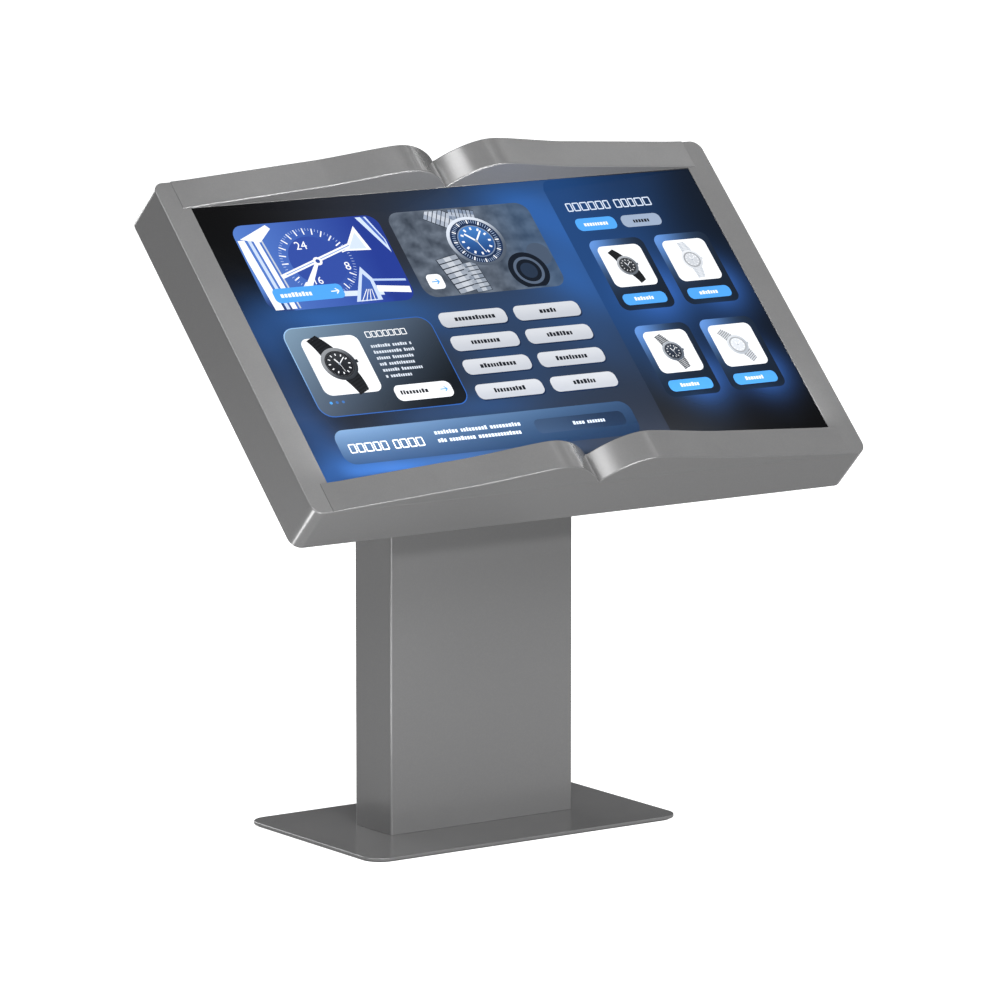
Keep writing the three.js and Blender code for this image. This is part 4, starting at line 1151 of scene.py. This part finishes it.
def draw_diver_card(art):
    """A steel watch lying on grey stones, beside a round dark lens."""
    box = (*MIDDLE, *ROW_TOP)
    inner = inside(box)

    def paint(x, v):
        grain = noise.noise(Vector((x * 0.045, v * 0.06, 2.0))) * 0.5 + 0.5
        fine = noise.noise(Vector((x * 0.16, v * 0.16, 7.0))) * 0.5 + 0.5
        tone = between((46, 54, 66), (128, 138, 152), grain * 0.8 + fine * 0.3 - 0.12)
        return between(tone, (52, 84, 124), 0.45 * step_up(0, 120, x))

    def case_paint(x, v):
        return between((74, 84, 98), (214, 222, 234), step_up(-40, 46, v - 157 - 0.4 * (x - 6)))

    def dial_paint(x, v):
        return between((22, 52, 104), (66, 122, 190), step_up(120, 186, v))

    art.card(box, CARD_R, 0, paint, 3)
    for a, b, width, hue in DIVER_BRACELET:
        art.stroke(a, b, width, 1, (38, 46, 58), inner)
        start, end = Vector(a), Vector(b)
        for k in range(7):
            near, far = start.lerp(end, (k + 0.1) / 7), start.lerp(end, (k + 0.9) / 7)
            art.stroke(near, far, width * 0.92, 2, between(hue, "white", 0.12 * (k % 3)), inner)
            art.stroke(near, far, width * 0.3, 3, between(hue, "white", 0.42), inner)
    art.ring((74, 92), 0, 36, 2, (16, 24, 36), inner)
    art.ring((74, 92), 22, 27, 3, (84, 98, 118), inner)
    art.ring((74, 92), 0, 15, 3, (36, 50, 70), inner)
    art.ring((108, 122), 0, 22, 1, (70, 84, 104), inner)
    centre = (6, 157)
    art.ring(centre, 0, 52, 4, case_paint, inner, squeeze=0.93)
    art.ring(centre, 0, 46, 5, (28, 46, 78), inner, squeeze=0.93)
    art.ticks(centre, 36, 42, 60, 0.9, 6, (170, 190, 218), inner)
    art.ticks(centre, 35, 42, 12, 2.4, 6, "white", inner)
    art.ring(centre, 0, 33, 6, (120, 136, 160), inner, squeeze=0.95)
    art.ring(centre, 0, 31, 7, dial_paint, inner, squeeze=0.95)
    art.ticks(centre, 22, 27, 12, 3.4, 8, "white", inner)
    for tip, width in (((-10, 172), 3.2), ((22, 176), 2.6), ((14, 134), 1.2)):
        art.stroke(centre, tip, width, 9, "white", inner)
    art.ring(centre, 0, 3, 10, "steel", inner, 12)
    art.card((-119, -90, 72, 101), 8, 4, "white")
    art.arrow(-112, 86.5, 14, 5, "cyan")


def draw_news_card(art):
    """A slate card: a white square with a black watch, a heading, lines of text and a button."""

    def rim_paint(x, v):
        return between((150, 190, 230), (46, 96, 176), step_up(-400, -250, x - v))

    rim = 1.6
    rim_box = (LEFT - rim, SPLIT + rim, ROW_LOW[0] - rim, ROW_LOW[1] + rim)
    art.card(rim_box, CARD_R + 1, 0, rim_paint)
    art.card((LEFT, SPLIT, *ROW_LOW), CARD_R, 1, slate_paint)
    art.card((-397, -293, -107, 2), 14, 2, "white")
    draw_watch(art, (-347, -50), 31, math.radians(114), (20, 23, 28), (40, 44, 50), (26, 29, 34), 3, "strap")
    art.heading(-276, -6, 10.5, (7,), 2, "white", 5)
    for row, lengths in enumerate(((8, 6, 1), (11, 5), (6, 9), (3, 11), (7, 9), (1, 9))):
        art.words(-277, -26 - row * 11.6, 5.2, lengths, 2, (206, 214, 226), 20 + row)
    art.card((-276, -172, -130, -100), 11, 2, "white")
    art.words(-266, -118, 7, (9,), 3, "ink", 31)
    art.arrow(-194, -115, 13, 3, "cyan")
    for k in range(3):
        art.ring((-395 + 11 * k, -120), 0, 2.6, 2, "cyan" if k == 0 else (62, 110, 176), steps=14)


PILL_WORDS = (12, 5), (9, 8), (11, 10), (10, 7)  # letters in the word of each button


def draw_pills(art):
    """Eight pale buttons in two columns, each with a stand-in word."""
    for row, middle in enumerate(PILL_V):

        def paint(x, v, middle=middle):
            return between((184, 188, 196), (202, 205, 211), step_up(middle - 14, middle + 14, v))

        for column, (left, right) in enumerate(PILL_X):
            box = (left, right, middle - PILL_H / 2, middle + PILL_H / 2)
            art.card((box[0] + 1, box[1] + 1.5, box[2] - 2.5, box[3] - 1), 11, 0, (22, 40, 70))
            art.card(box, 11, 1, paint)
            length = PILL_WORDS[row][column]
            start = (left + right) / 2 - length * 2.85
            art.words(start, middle - 3.4, 7.4, (length,), 2, "ink", 40 + row * 2 + column)


def draw_banner(art):
    """The banner: a large heading, two lines of text and a dark field."""

    def field_paint(x, v):
        return between((50, 70, 98), (28, 44, 68), step_up(-60, 108, x))

    art.card(BANNER, 20, 1, banner_paint)
    art.heading(-402, -214, 15, (5, 4), 2, "white", 60)
    art.words(-243, -197, 6.5, (8, 9, 10), 2, (214, 226, 242), 61)
    art.words(-243, -212, 6.5, (3, 9, 14), 2, (214, 226, 242), 62)
    art.card((-60, 108, -216, -189), 10, 2, field_paint)
    art.words(10, -206, 6, (4, 7), 3, (196, 208, 226), 63)


TILE_WATCHES = (
    ((34, 37, 42), (92, 98, 106), (30, 32, 36), 118, "strap"),
    ((196, 200, 206), (204, 208, 214), (188, 194, 202), 96, "bracelet"),
    ((30, 38, 52), (84, 92, 104), (56, 60, 66), 112, "bracelet"),
    ((214, 218, 224), (176, 182, 190), (206, 210, 216), 124, "strap"),
)


def draw_panel(art):
    """The right-hand panel: a heading, two switches and four tiles that each show a watch."""
    half_w, half_h = art.screen[1], art.screen[3]
    across, up, corner = 58, 100, 18
    rows = []
    for i in range(across + 1):
        x = PANEL_X + (half_w - PANEL_X) * i / across
        off = max(0.0, corner - (x - PANEL_X))
        top = half_h - 2 - (corner - math.sqrt(max(0.0, corner * corner - off * off)))
        rows.append([(x, -half_h + (top + half_h) * k / up) for k in range(up + 1)])
    art.rows(rows, 1, panel_paint)
    art.heading(204, 199, 15, (6, 5), 2, (214, 226, 244), 70)
    art.card((204, 281, 158, 183), 10, 2, "cyan")
    art.words(219, 167, 6.5, (9,), 3, "white", 71)
    art.card((292, 368, 158, 182), 10, 2, (150, 166, 190))
    art.words(314, 166, 6.5, (6,), 3, "ink", 72)
    for index, look in enumerate(TILE_WATCHES):
        left, bottom = TILE_X[index % 2], TILE_V[index // 2]
        box = (left, left + TILE_W, bottom, bottom + TILE_H)
        art.card(box, TILE_R, 2, tile_paint((box[0], box[3])), 4)
        white = (left + 11, left + TILE_W - 11, bottom + 46, bottom + TILE_H - 13)
        art.card(white, 11, 3, "white")
        face, rim, strap, turn, style = look
        middle = ((white[0] + white[1]) / 2, (white[2] + white[3]) / 2)
        draw_watch(art, middle, 19, math.radians(turn), face, rim, strap, 4, style)
        art.card((left + 11, left + TILE_W - 11, bottom + 10, bottom + 32), 9, 3, "cyan")
        art.words(left + 33, bottom + 18, 6.2, (7,), 4, "white", 80 + index)


# ---- Operators ----


# CAD nodes that are round, or too thin to roll the edges of
SOFT_EDGES = (
    "mains_lead",
    "panel_power_lead",
    "video_lead",
    "driver_board",
    "touch_controller",
    "display_cell",
)
NODE_EDGE = 0.4 * MM


class KIOSK_OT_stage(bpy.types.Operator):
    """Lays the pale floor and sets the lights and the camera"""

    bl_idname = "kiosk.stage"
    bl_label = "Stage"

    def execute(self, context):
        settings = context.scene.kiosk.stage
        context.scene.view_settings.view_transform = "Standard"
        add_camera(context, settings)
        add_sky(context, settings)
        add_lights(settings)
        add_floor(settings)
        return {"FINISHED"}


CAMERA_AT = Vector((-5.8174, -8.4401, 2.2205))
CAMERA_LOOK = Vector((0.56427, 0.80910, -0.16418))


def add_camera(context, settings):
    """The camera, at the viewer's left and a little above the screen."""
    data = bpy.data.cameras.new("viewpoint")
    data.lens = settings.lens
    data.sensor_width = 36
    data.clip_end = 500
    camera = bpy.data.objects.new("viewpoint", data)
    camera.location = CAMERA_AT
    camera.rotation_mode = "QUATERNION"
    camera.rotation_quaternion = CAMERA_LOOK.to_track_quat("-Z", "Y")
    context.scene.collection.objects.link(camera)
    context.scene.camera = camera


def add_sky(context, settings):
    """Studio walls: bright overhead and behind the viewer, dim behind the kiosk, plain white where seen."""
    world = bpy.data.worlds.new("studio")
    world.use_nodes = True
    tree = world.node_tree
    tree.nodes.clear()
    way = put(tree, "ShaderNodeTexCoord").outputs["Generated"]
    height = put(tree, "ShaderNodeSeparateXYZ", {"Vector": way})
    away = put(tree, "ShaderNodeVectorMath", {0: way, 1: (0.57, 0.82, 0.0)}, operation="DOT_PRODUCT")
    behind = ranged(tree, away.outputs["Value"], 0.0, 1.0, -0.3, 0.6)
    walls = mixed(tree, behind, (0.8, 0.8, 0.8), (0.16, 0.16, 0.165))
    overhead = ranged(tree, height.outputs["Z"], 0.0, 1.0, 0.25, 0.85)
    room = mixed(tree, overhead, walls, (1.0, 1.0, 1.0))
    lit = put(tree, "ShaderNodeBackground", {"Color": room, "Strength": settings.sky})
    plain = put(tree, "ShaderNodeBackground", {"Color": (1.0, 1.0, 1.0, 1.0), "Strength": 1.0})
    seen = put(tree, "ShaderNodeLightPath").outputs["Is Camera Ray"]
    pair = {0: seen, 1: lit.outputs["Background"], 2: plain.outputs["Background"]}
    both = put(tree, "ShaderNodeMixShader", pair)
    output = put(tree, "ShaderNodeOutputWorld")
    tree.links.new(both.outputs["Shader"], output.inputs["Surface"])
    context.scene.world = world


def add_area_light(name, place, target, size, power):
    """A soft rectangular light that faces a point."""
    data = bpy.data.lights.new(name, "AREA")
    data.shape = "RECTANGLE"
    data.size, data.size_y = size
    data.energy = power
    light = bpy.data.objects.new(name, data)
    light.location = place
    light.rotation_mode = "QUATERNION"
    light.rotation_quaternion = (Vector(target) - Vector(place)).to_track_quat("-Z", "Y")
    light.visible_camera = False
    bpy.context.scene.collection.objects.link(light)


def add_sun(name, way, power, softness):
    """A distant light from a direction, with soft shadows."""
    data = bpy.data.lights.new(name, "SUN")
    data.energy = power
    data.angle = softness
    light = bpy.data.objects.new(name, data)
    light.rotation_mode = "QUATERNION"
    light.rotation_quaternion = Vector(way).to_track_quat("Z", "Y")
    bpy.context.scene.collection.objects.link(light)


# The studio's lights, as (name, place, target, size, share of the fill's power)
AREA_LIGHTS = (
    ("front_fill", (0.1, -4.0, 0.2), (0, -0.1, 0.95), (3.2, 0.5), 0.45),
    ("front_line", (0.5, -4.0, 1.75), (0, -0.1, 0.95), (3.0, 0.2), 1.1),
    ("overhead_strip", (-2.0, -0.55, 3.6), (0, -0.1, 0.85), (0.8, 2.0), 0.34),
    ("crest_strip", (1.5, -0.8, 3.7), (0, -0.1, 0.85), (0.1, 1.6), 0.02),
    ("fold_strip_high", (2.8, 0.05, 3.0), (0, -0.1, 0.9), (0.12, 1.6), 0.02),
    ("fold_strip_low", (3.1, 0.8, 2.3), (0, -0.1, 0.9), (0.12, 1.6), 0.04),
    ("under_left", (-0.95, -0.3, 0.02), (-0.6, -0.3, 0.6), (0.4, 0.5), 0.06),
    ("floor_line", (-0.7, -2.5, 0.012), (-0.7, -2.5, 1), (0.3, 3.8), 0.32),
    ("rear_soft", (-0.6, 4.2, 2.0), (0, 0, 0.7), (3.4, 1.8), 1.4),
)
KEY_WAY = (-0.36, -0.72, 0.6)
KEY_SOFTNESS = math.radians(30)
PAGE_GLOW_W = 26 * MM
PAGE_GLOW_SIZE = (0.86, 0.03)
FLOOR_STEPS = 12


def add_lights(settings):
    """A broad key from the user's left, a low fill in front, and strips that draw streaks on the folds."""
    add_sun("key", KEY_WAY, settings.key, KEY_SOFTNESS)
    for name, place, target, size, share in AREA_LIGHTS:
        add_area_light(name, place, target, size, settings.fill * share)
    page_top = head_box("page_bottom_left")[1].y
    foot = HEAD @ Vector((0, page_top + 4 * MM, PAGE_GLOW_W))
    ahead = HEAD @ Vector((0, 0, PAGE_GLOW_W))
    add_area_light("page_glow", foot, ahead, PAGE_GLOW_SIZE, settings.page_glow)


def add_floor(settings):
    """A pale floor, out to the horizon."""
    half, count = settings.floor_size / 2, FLOOR_STEPS + 1
    spots = [-half + 2 * half * k / FLOOR_STEPS for k in range(count)]
    points = [(x, y, 0) for x in spots for y in spots]
    faces = []
    for i in range(FLOOR_STEPS):
        for k in range(FLOOR_STEPS):
            a = i * count + k
            faces.append((a, a + count, a + count + 1, a + 1))
    mesh = bpy.data.meshes.new("floor")
    mesh.from_pydata(points, [], faces)
    mesh.materials.append(floor_material("studio_floor", settings.floor_glow))
    floor = bpy.data.objects.new("floor", mesh)
    bpy.context.scene.collection.objects.link(floor)


class KIOSK_OT_casing(bpy.types.Operator):
    """Builds the folded casing round the screen"""

    bl_idname = "kiosk.casing"
    bl_label = "Casing"

    def execute(self, context):
        mesh = casing_mesh(context.scene.kiosk.casing)
        add_piece(mesh, "cabinet", "powder_coat", ("front_shell",))
        return {"FINISHED"}


class KIOSK_OT_pages(bpy.types.Operator):
    """Builds the four arched pages above and below the screen"""

    bl_idname = "kiosk.pages"
    bl_label = "Pages"

    def execute(self, context):
        settings = context.scene.kiosk.casing
        for up, row in ((1, "top"), (-1, "bottom")):
            for side, end in ((1, "right"), (-1, "left")):
                mesh = page_mesh(f"arched_page_{row}_{end}", side, up, settings)
                add_piece(mesh, "cabinet", "powder_coat", (f"page_{row}_{end}",))
        return {"FINISHED"}


class KIOSK_OT_screen(bpy.types.Operator):
    """Builds the touch glass and the lit picture"""

    bl_idname = "kiosk.screen"
    bl_label = "Screen"

    def execute(self, context):
        settings = context.scene.kiosk.screen
        low, high = head_box("touch_glass")
        middle = Vector(((low.x + high.x) / 2, (low.y + high.y) / 2, low.z))
        block = rounded_block((high.x - low.x) / 2, (high.y - low.y) / 2, high.z - low.z, 3 * MM, 0.4 * MM)
        mesh = mesh_of("touch_screen_glass", *block, HEAD @ Matrix.Translation(middle))
        add_piece(mesh, "cabinet", "glass", ("touch_glass",))
        half_w = (high.x - settings.lap) / MM
        half_h = (high.y - settings.lap) / MM
        paint = lit_picture_material("kiosk_lit_picture", settings.brightness)
        for name, drawings in (
            ("picture_background", (draw_background,)),
            ("picture_cards", (draw_dial_card, draw_diver_card, draw_news_card)),
            ("picture_buttons", (draw_pills, draw_banner)),
            ("picture_panel", (draw_panel,)),
        ):
            art = Artwork(half_w, half_h)
            for draw in drawings:
                draw(art)
            add_piece(art.mesh(name, high.z, settings.layer), "cabinet", "display", (), paint, False)
        return {"FINISHED"}


def draw_background(art):
    """The menu's background, out to the bezel."""
    left, right, bottom, top = art.screen
    across, up = 190, 106
    rows = [
        [(left + (right - left) * i / across, bottom + (top - bottom) * k / up) for k in range(up + 1)]
        for i in range(across + 1)
    ]
    art.rows(rows, -1, backdrop)


# The foot's two slabs, as (CAD node, name, slot, corner radius, rolled edge)
FOOT_PARTS = (
    ("base_plate", "floor_plate", "powder_coat", 34 * MM, 1 * MM),
    ("base_mat", "floor_mat", "rubber", 32 * MM, 0.3 * MM),
)


class KIOSK_OT_stand(bpy.types.Operator):
    """Builds the pillar, the base plate and its mat"""

    bl_idname = "kiosk.stand"
    bl_label = "Stand"

    def execute(self, context):
        add_piece(pillar_mesh(context.scene.kiosk.casing), "cabinet", "powder_coat", ("pillar_shell",))
        for node, name, slot, radius, edge in FOOT_PARTS:
            low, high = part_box(node)
            half = (high - low) / 2
            middle = Vector(((low.x + high.x) / 2, (low.y + high.y) / 2, low.z))
            block = rounded_block(half.x, half.y, high.z - low.z, radius, edge, 4, 12)
            mesh = mesh_of(name, *block, Matrix.Translation(middle))
            add_piece(mesh, "cabinet", slot, (node,))
        return {"FINISHED"}


def socket_screw(head_radius, head_height):
    """A button-head screw on z = 0 with a hexagon socket."""
    r, h = head_radius, head_height
    profile = (
        (r * 0.96, 0), (r, h * 0.12), (r * 0.97, h * 0.45), (r * 0.84, h * 0.78), (r * 0.62, h * 0.96),
        (r * 0.52, h), (r * 0.46, h), (r * 0.44, h * 0.95), (r * 0.44, h * 0.3), (r * 0.3, h * 0.22),
    )
    return turned(profile, 36, {6, 7, 8, 9})


class KIOSK_OT_cover_screws(bpy.types.Operator):
    """Builds the screws of the back cover"""

    bl_idname = "kiosk.cover_screws"
    bl_label = "Cover screws"

    def execute(self, context):
        cover_back = head_box("back_cover")[0].z
        for k in range(1, 7):
            node = f"cover_screw_{k}"
            low, high = head_box(node)
            half = (high.x - low.x) / 2
            facing = moved((low.x + high.x) / 2, (low.y + high.y) / 2, cover_back, math.pi)
            screw = placed(socket_screw(half, cover_back - low.z), facing)
            mesh = mesh_of(f"cover_fixing_{k}", *screw, HEAD)
            add_piece(mesh, "cabinet", "zinc_steel", (node,))
        return {"FINISHED"}


HINGE_SCREW_IN = 7 * MM  # from a leaf's outer edge to its screws
HINGE_LEAF = 1.5 * MM  # thickness of a leaf


class KIOSK_OT_hinges(bpy.types.Operator):
    """Adds the screws of the door's hinges"""

    bl_idname = "kiosk.hinges"
    bl_label = "Hinge screws"

    def execute(self, context):
        for level in ("lower", "upper"):
            for leaf, body in (("frame", "cabinet"), ("door", "service_door")):
                low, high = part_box(f"{level}_hinge_{leaf}_leaf")
                flat = low.x + HINGE_SCREW_IN if leaf == "frame" else high.x - HINGE_SCREW_IN
                face = low.y + HINGE_LEAF
                screws = []
                for k in range(3):
                    z = low.z + (high.z - low.z) * (k + 0.5) / 3
                    screw = socket_screw(3.2 * MM, 1.5 * MM)
                    screws.append(placed(screw, facing_rear(flat, face, z)))
                mesh = mesh_of(f"{level}_hinge_{leaf}_screws", *joined(screws))
                add_piece(mesh, body, "zinc_steel")
        return {"FINISHED"}


def hoop(inner, outer, height, steps=28):
    """A flat ring on z = 0."""
    loops = []
    for radius, z in ((inner, 0), (outer, 0), (outer, height), (inner, height)):
        turns = [k / steps * 2 * math.pi for k in range(steps)]
        loops.append([(radius * math.cos(t), radius * math.sin(t), z) for t in turns])
    return lofted(loops, ring=True)


TERMINALS = 9
TERMINAL_STEP = 14.5 * MM
LOUVRES = 15
LOUVRE_STEP = 9 * MM
COMPUTER_SOCKETS = ((18, 4.2), (34, 7.2), (52, 7.2), (68, 4.2))  # x and half width of each, in mm


class KIOSK_OT_power_details(bpy.types.Operator):
    """Adds the terminals and louvres of the power supply and the sockets on the computer"""

    bl_idname = "kiosk.power_details"
    bl_label = "Power details"

    def execute(self, context):
        low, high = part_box("power_supply")
        middle = (low.x + high.x) / 2
        strip_z = high.z - 6 * MM
        strip = rounded_block((high.x - low.x) / 2 - 11 * MM, 4.6 * MM, 5.5 * MM, 0.8 * MM, 0.5 * MM)
        strip = placed(strip, facing_rear(middle, high.y - 7.9 * MM, strip_z))
        add_piece(mesh_of("terminal_strip", *strip), "cabinet", "black_plastic")
        screws = []
        for k in range(TERMINALS):
            x = middle + (k - TERMINALS // 2) * TERMINAL_STEP
            place = facing_rear(x, high.y - 2.4 * MM, strip_z)
            screws.append(placed(socket_screw(2.6 * MM, 1.2 * MM), place))
        add_piece(mesh_of("terminal_screws", *joined(screws)), "cabinet", "chrome")
        louvres = []
        for k in range(LOUVRES):
            x = middle + (k - LOUVRES // 2) * LOUVRE_STEP
            place = facing_rear(x, high.y, (low.z + strip_z) / 2 - 3 * MM)
            louvres.append(placed(rounded_block(1.6 * MM, 26 * MM, 1.1 * MM, 1.5 * MM, 0.8 * MM), place))
        add_piece(mesh_of("supply_louvres", *joined(louvres)), "cabinet", "aluminium")
        low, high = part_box("mini_pc")
        sockets = []
        for x, half in COMPUTER_SOCKETS:
            place = moved(x * MM, (low.y + high.y) / 2, high.z)
            sockets.append(placed(rounded_block(half * MM, 3.4 * MM, 1.5 * MM, 1.2 * MM, 0.4 * MM), place))
        add_piece(mesh_of("computer_sockets", *joined(sockets)), "cabinet", "black_plastic")
        return {"FINISHED"}


class KIOSK_OT_control_marks(bpy.types.Operator):
    """Adds the raised marks of the mains switch and the ring of the power button"""

    bl_idname = "kiosk.control_marks"
    bl_label = "Control marks"

    def execute(self, context):
        faces = [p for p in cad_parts["mains_switch"].data.polygons if p.normal.y > 0.8]
        if not faces:
            raise RuntimeError("the mains switch has no face that looks to the rear")
        waist = sum(p.center.z for p in faces) / len(faces)
        marks = []
        for half in ([p for p in faces if p.center.z > waist], [p for p in faces if p.center.z < waist]):
            centre = sum((p.center for p in half), Vector()) / len(half)
            turn = half[0].normal.to_track_quat("Z", "Y").to_matrix().to_4x4()
            upper = centre.z > waist
            bar = rounded_block(0.35 * MM, 1.7 * MM, 0.08 * MM, 0.3 * MM, 0.03 * MM)
            mark = bar if upper else hoop(1.1 * MM, 1.7 * MM, 0.08 * MM)
            marks.append(placed(mark, Matrix.Translation(centre) @ turn))
        add_piece(mesh_of("switch_marks", *joined(marks)), "mains_switch", "display_tray")
        low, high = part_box("power_button")
        place = facing_rear((low.x + high.x) / 2, high.y, (low.z + high.z) / 2)
        ring = placed(hoop(4.4 * MM, 5.4 * MM, 0.12 * MM), place)
        add_piece(mesh_of("button_ring", *ring), "power_button", "black_plastic")
        return {"FINISHED"}


class KIOSK_OT_fittings(bpy.types.Operator):
    """Gives the CAD parts that stay their finishes and rolled edges"""

    bl_idname = "kiosk.fittings"
    bl_label = "Fittings"

    def execute(self, context):
        for node, piece in sorted(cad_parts.items()):
            if not piece.hide_render:
                polish_node(node, piece.data.materials[0].name, 0 if node in SOFT_EDGES else NODE_EDGE)
        return {"FINISHED"}


class KIOSK_PT_panel(bpy.types.Panel):
    """Buttons for each group of pieces, and their settings"""

    bl_idname = "KIOSK_PT_panel"
    bl_label = "Touchscreen kiosk"
    bl_space_type = "VIEW_3D"
    bl_region_type = "UI"
    bl_category = "Kiosk"

    def draw(self, context):
        settings = context.scene.kiosk
        for group in (settings.casing, settings.coat, settings.screen, settings.stage):
            box = self.layout.box()
            for name in group.__annotations__:
                box.prop(group, name)
        for operator in OPERATORS:
            self.layout.operator(operator.bl_idname)


GROUPS = (KioskCasingSettings, KioskCoatSettings, KioskScreenSettings, KioskStageSettings, KioskSettings)
OPERATORS = (
    KIOSK_OT_stage,
    KIOSK_OT_casing,
    KIOSK_OT_pages,
    KIOSK_OT_screen,
    KIOSK_OT_stand,
    KIOSK_OT_cover_screws,
    KIOSK_OT_hinges,
    KIOSK_OT_power_details,
    KIOSK_OT_control_marks,
    KIOSK_OT_fittings,
)


def register():
    """Adds the settings, the operators and the panel."""
    for each in (*GROUPS, *OPERATORS, KIOSK_PT_panel):
        bpy.utils.register_class(each)
    bpy.types.Scene.kiosk = bpy.props.PointerProperty(type=KioskSettings)


def unregister():
    """Takes them away again."""
    del bpy.types.Scene.kiosk
    for each in reversed((*GROUPS, *OPERATORS, KIOSK_PT_panel)):
        bpy.utils.unregister_class(each)


def main():
    register()
    for operator in OPERATORS:
        area, name = operator.bl_idname.split(".")
        getattr(getattr(bpy.ops, area), name)()


if __name__ == "__main__":
    main()
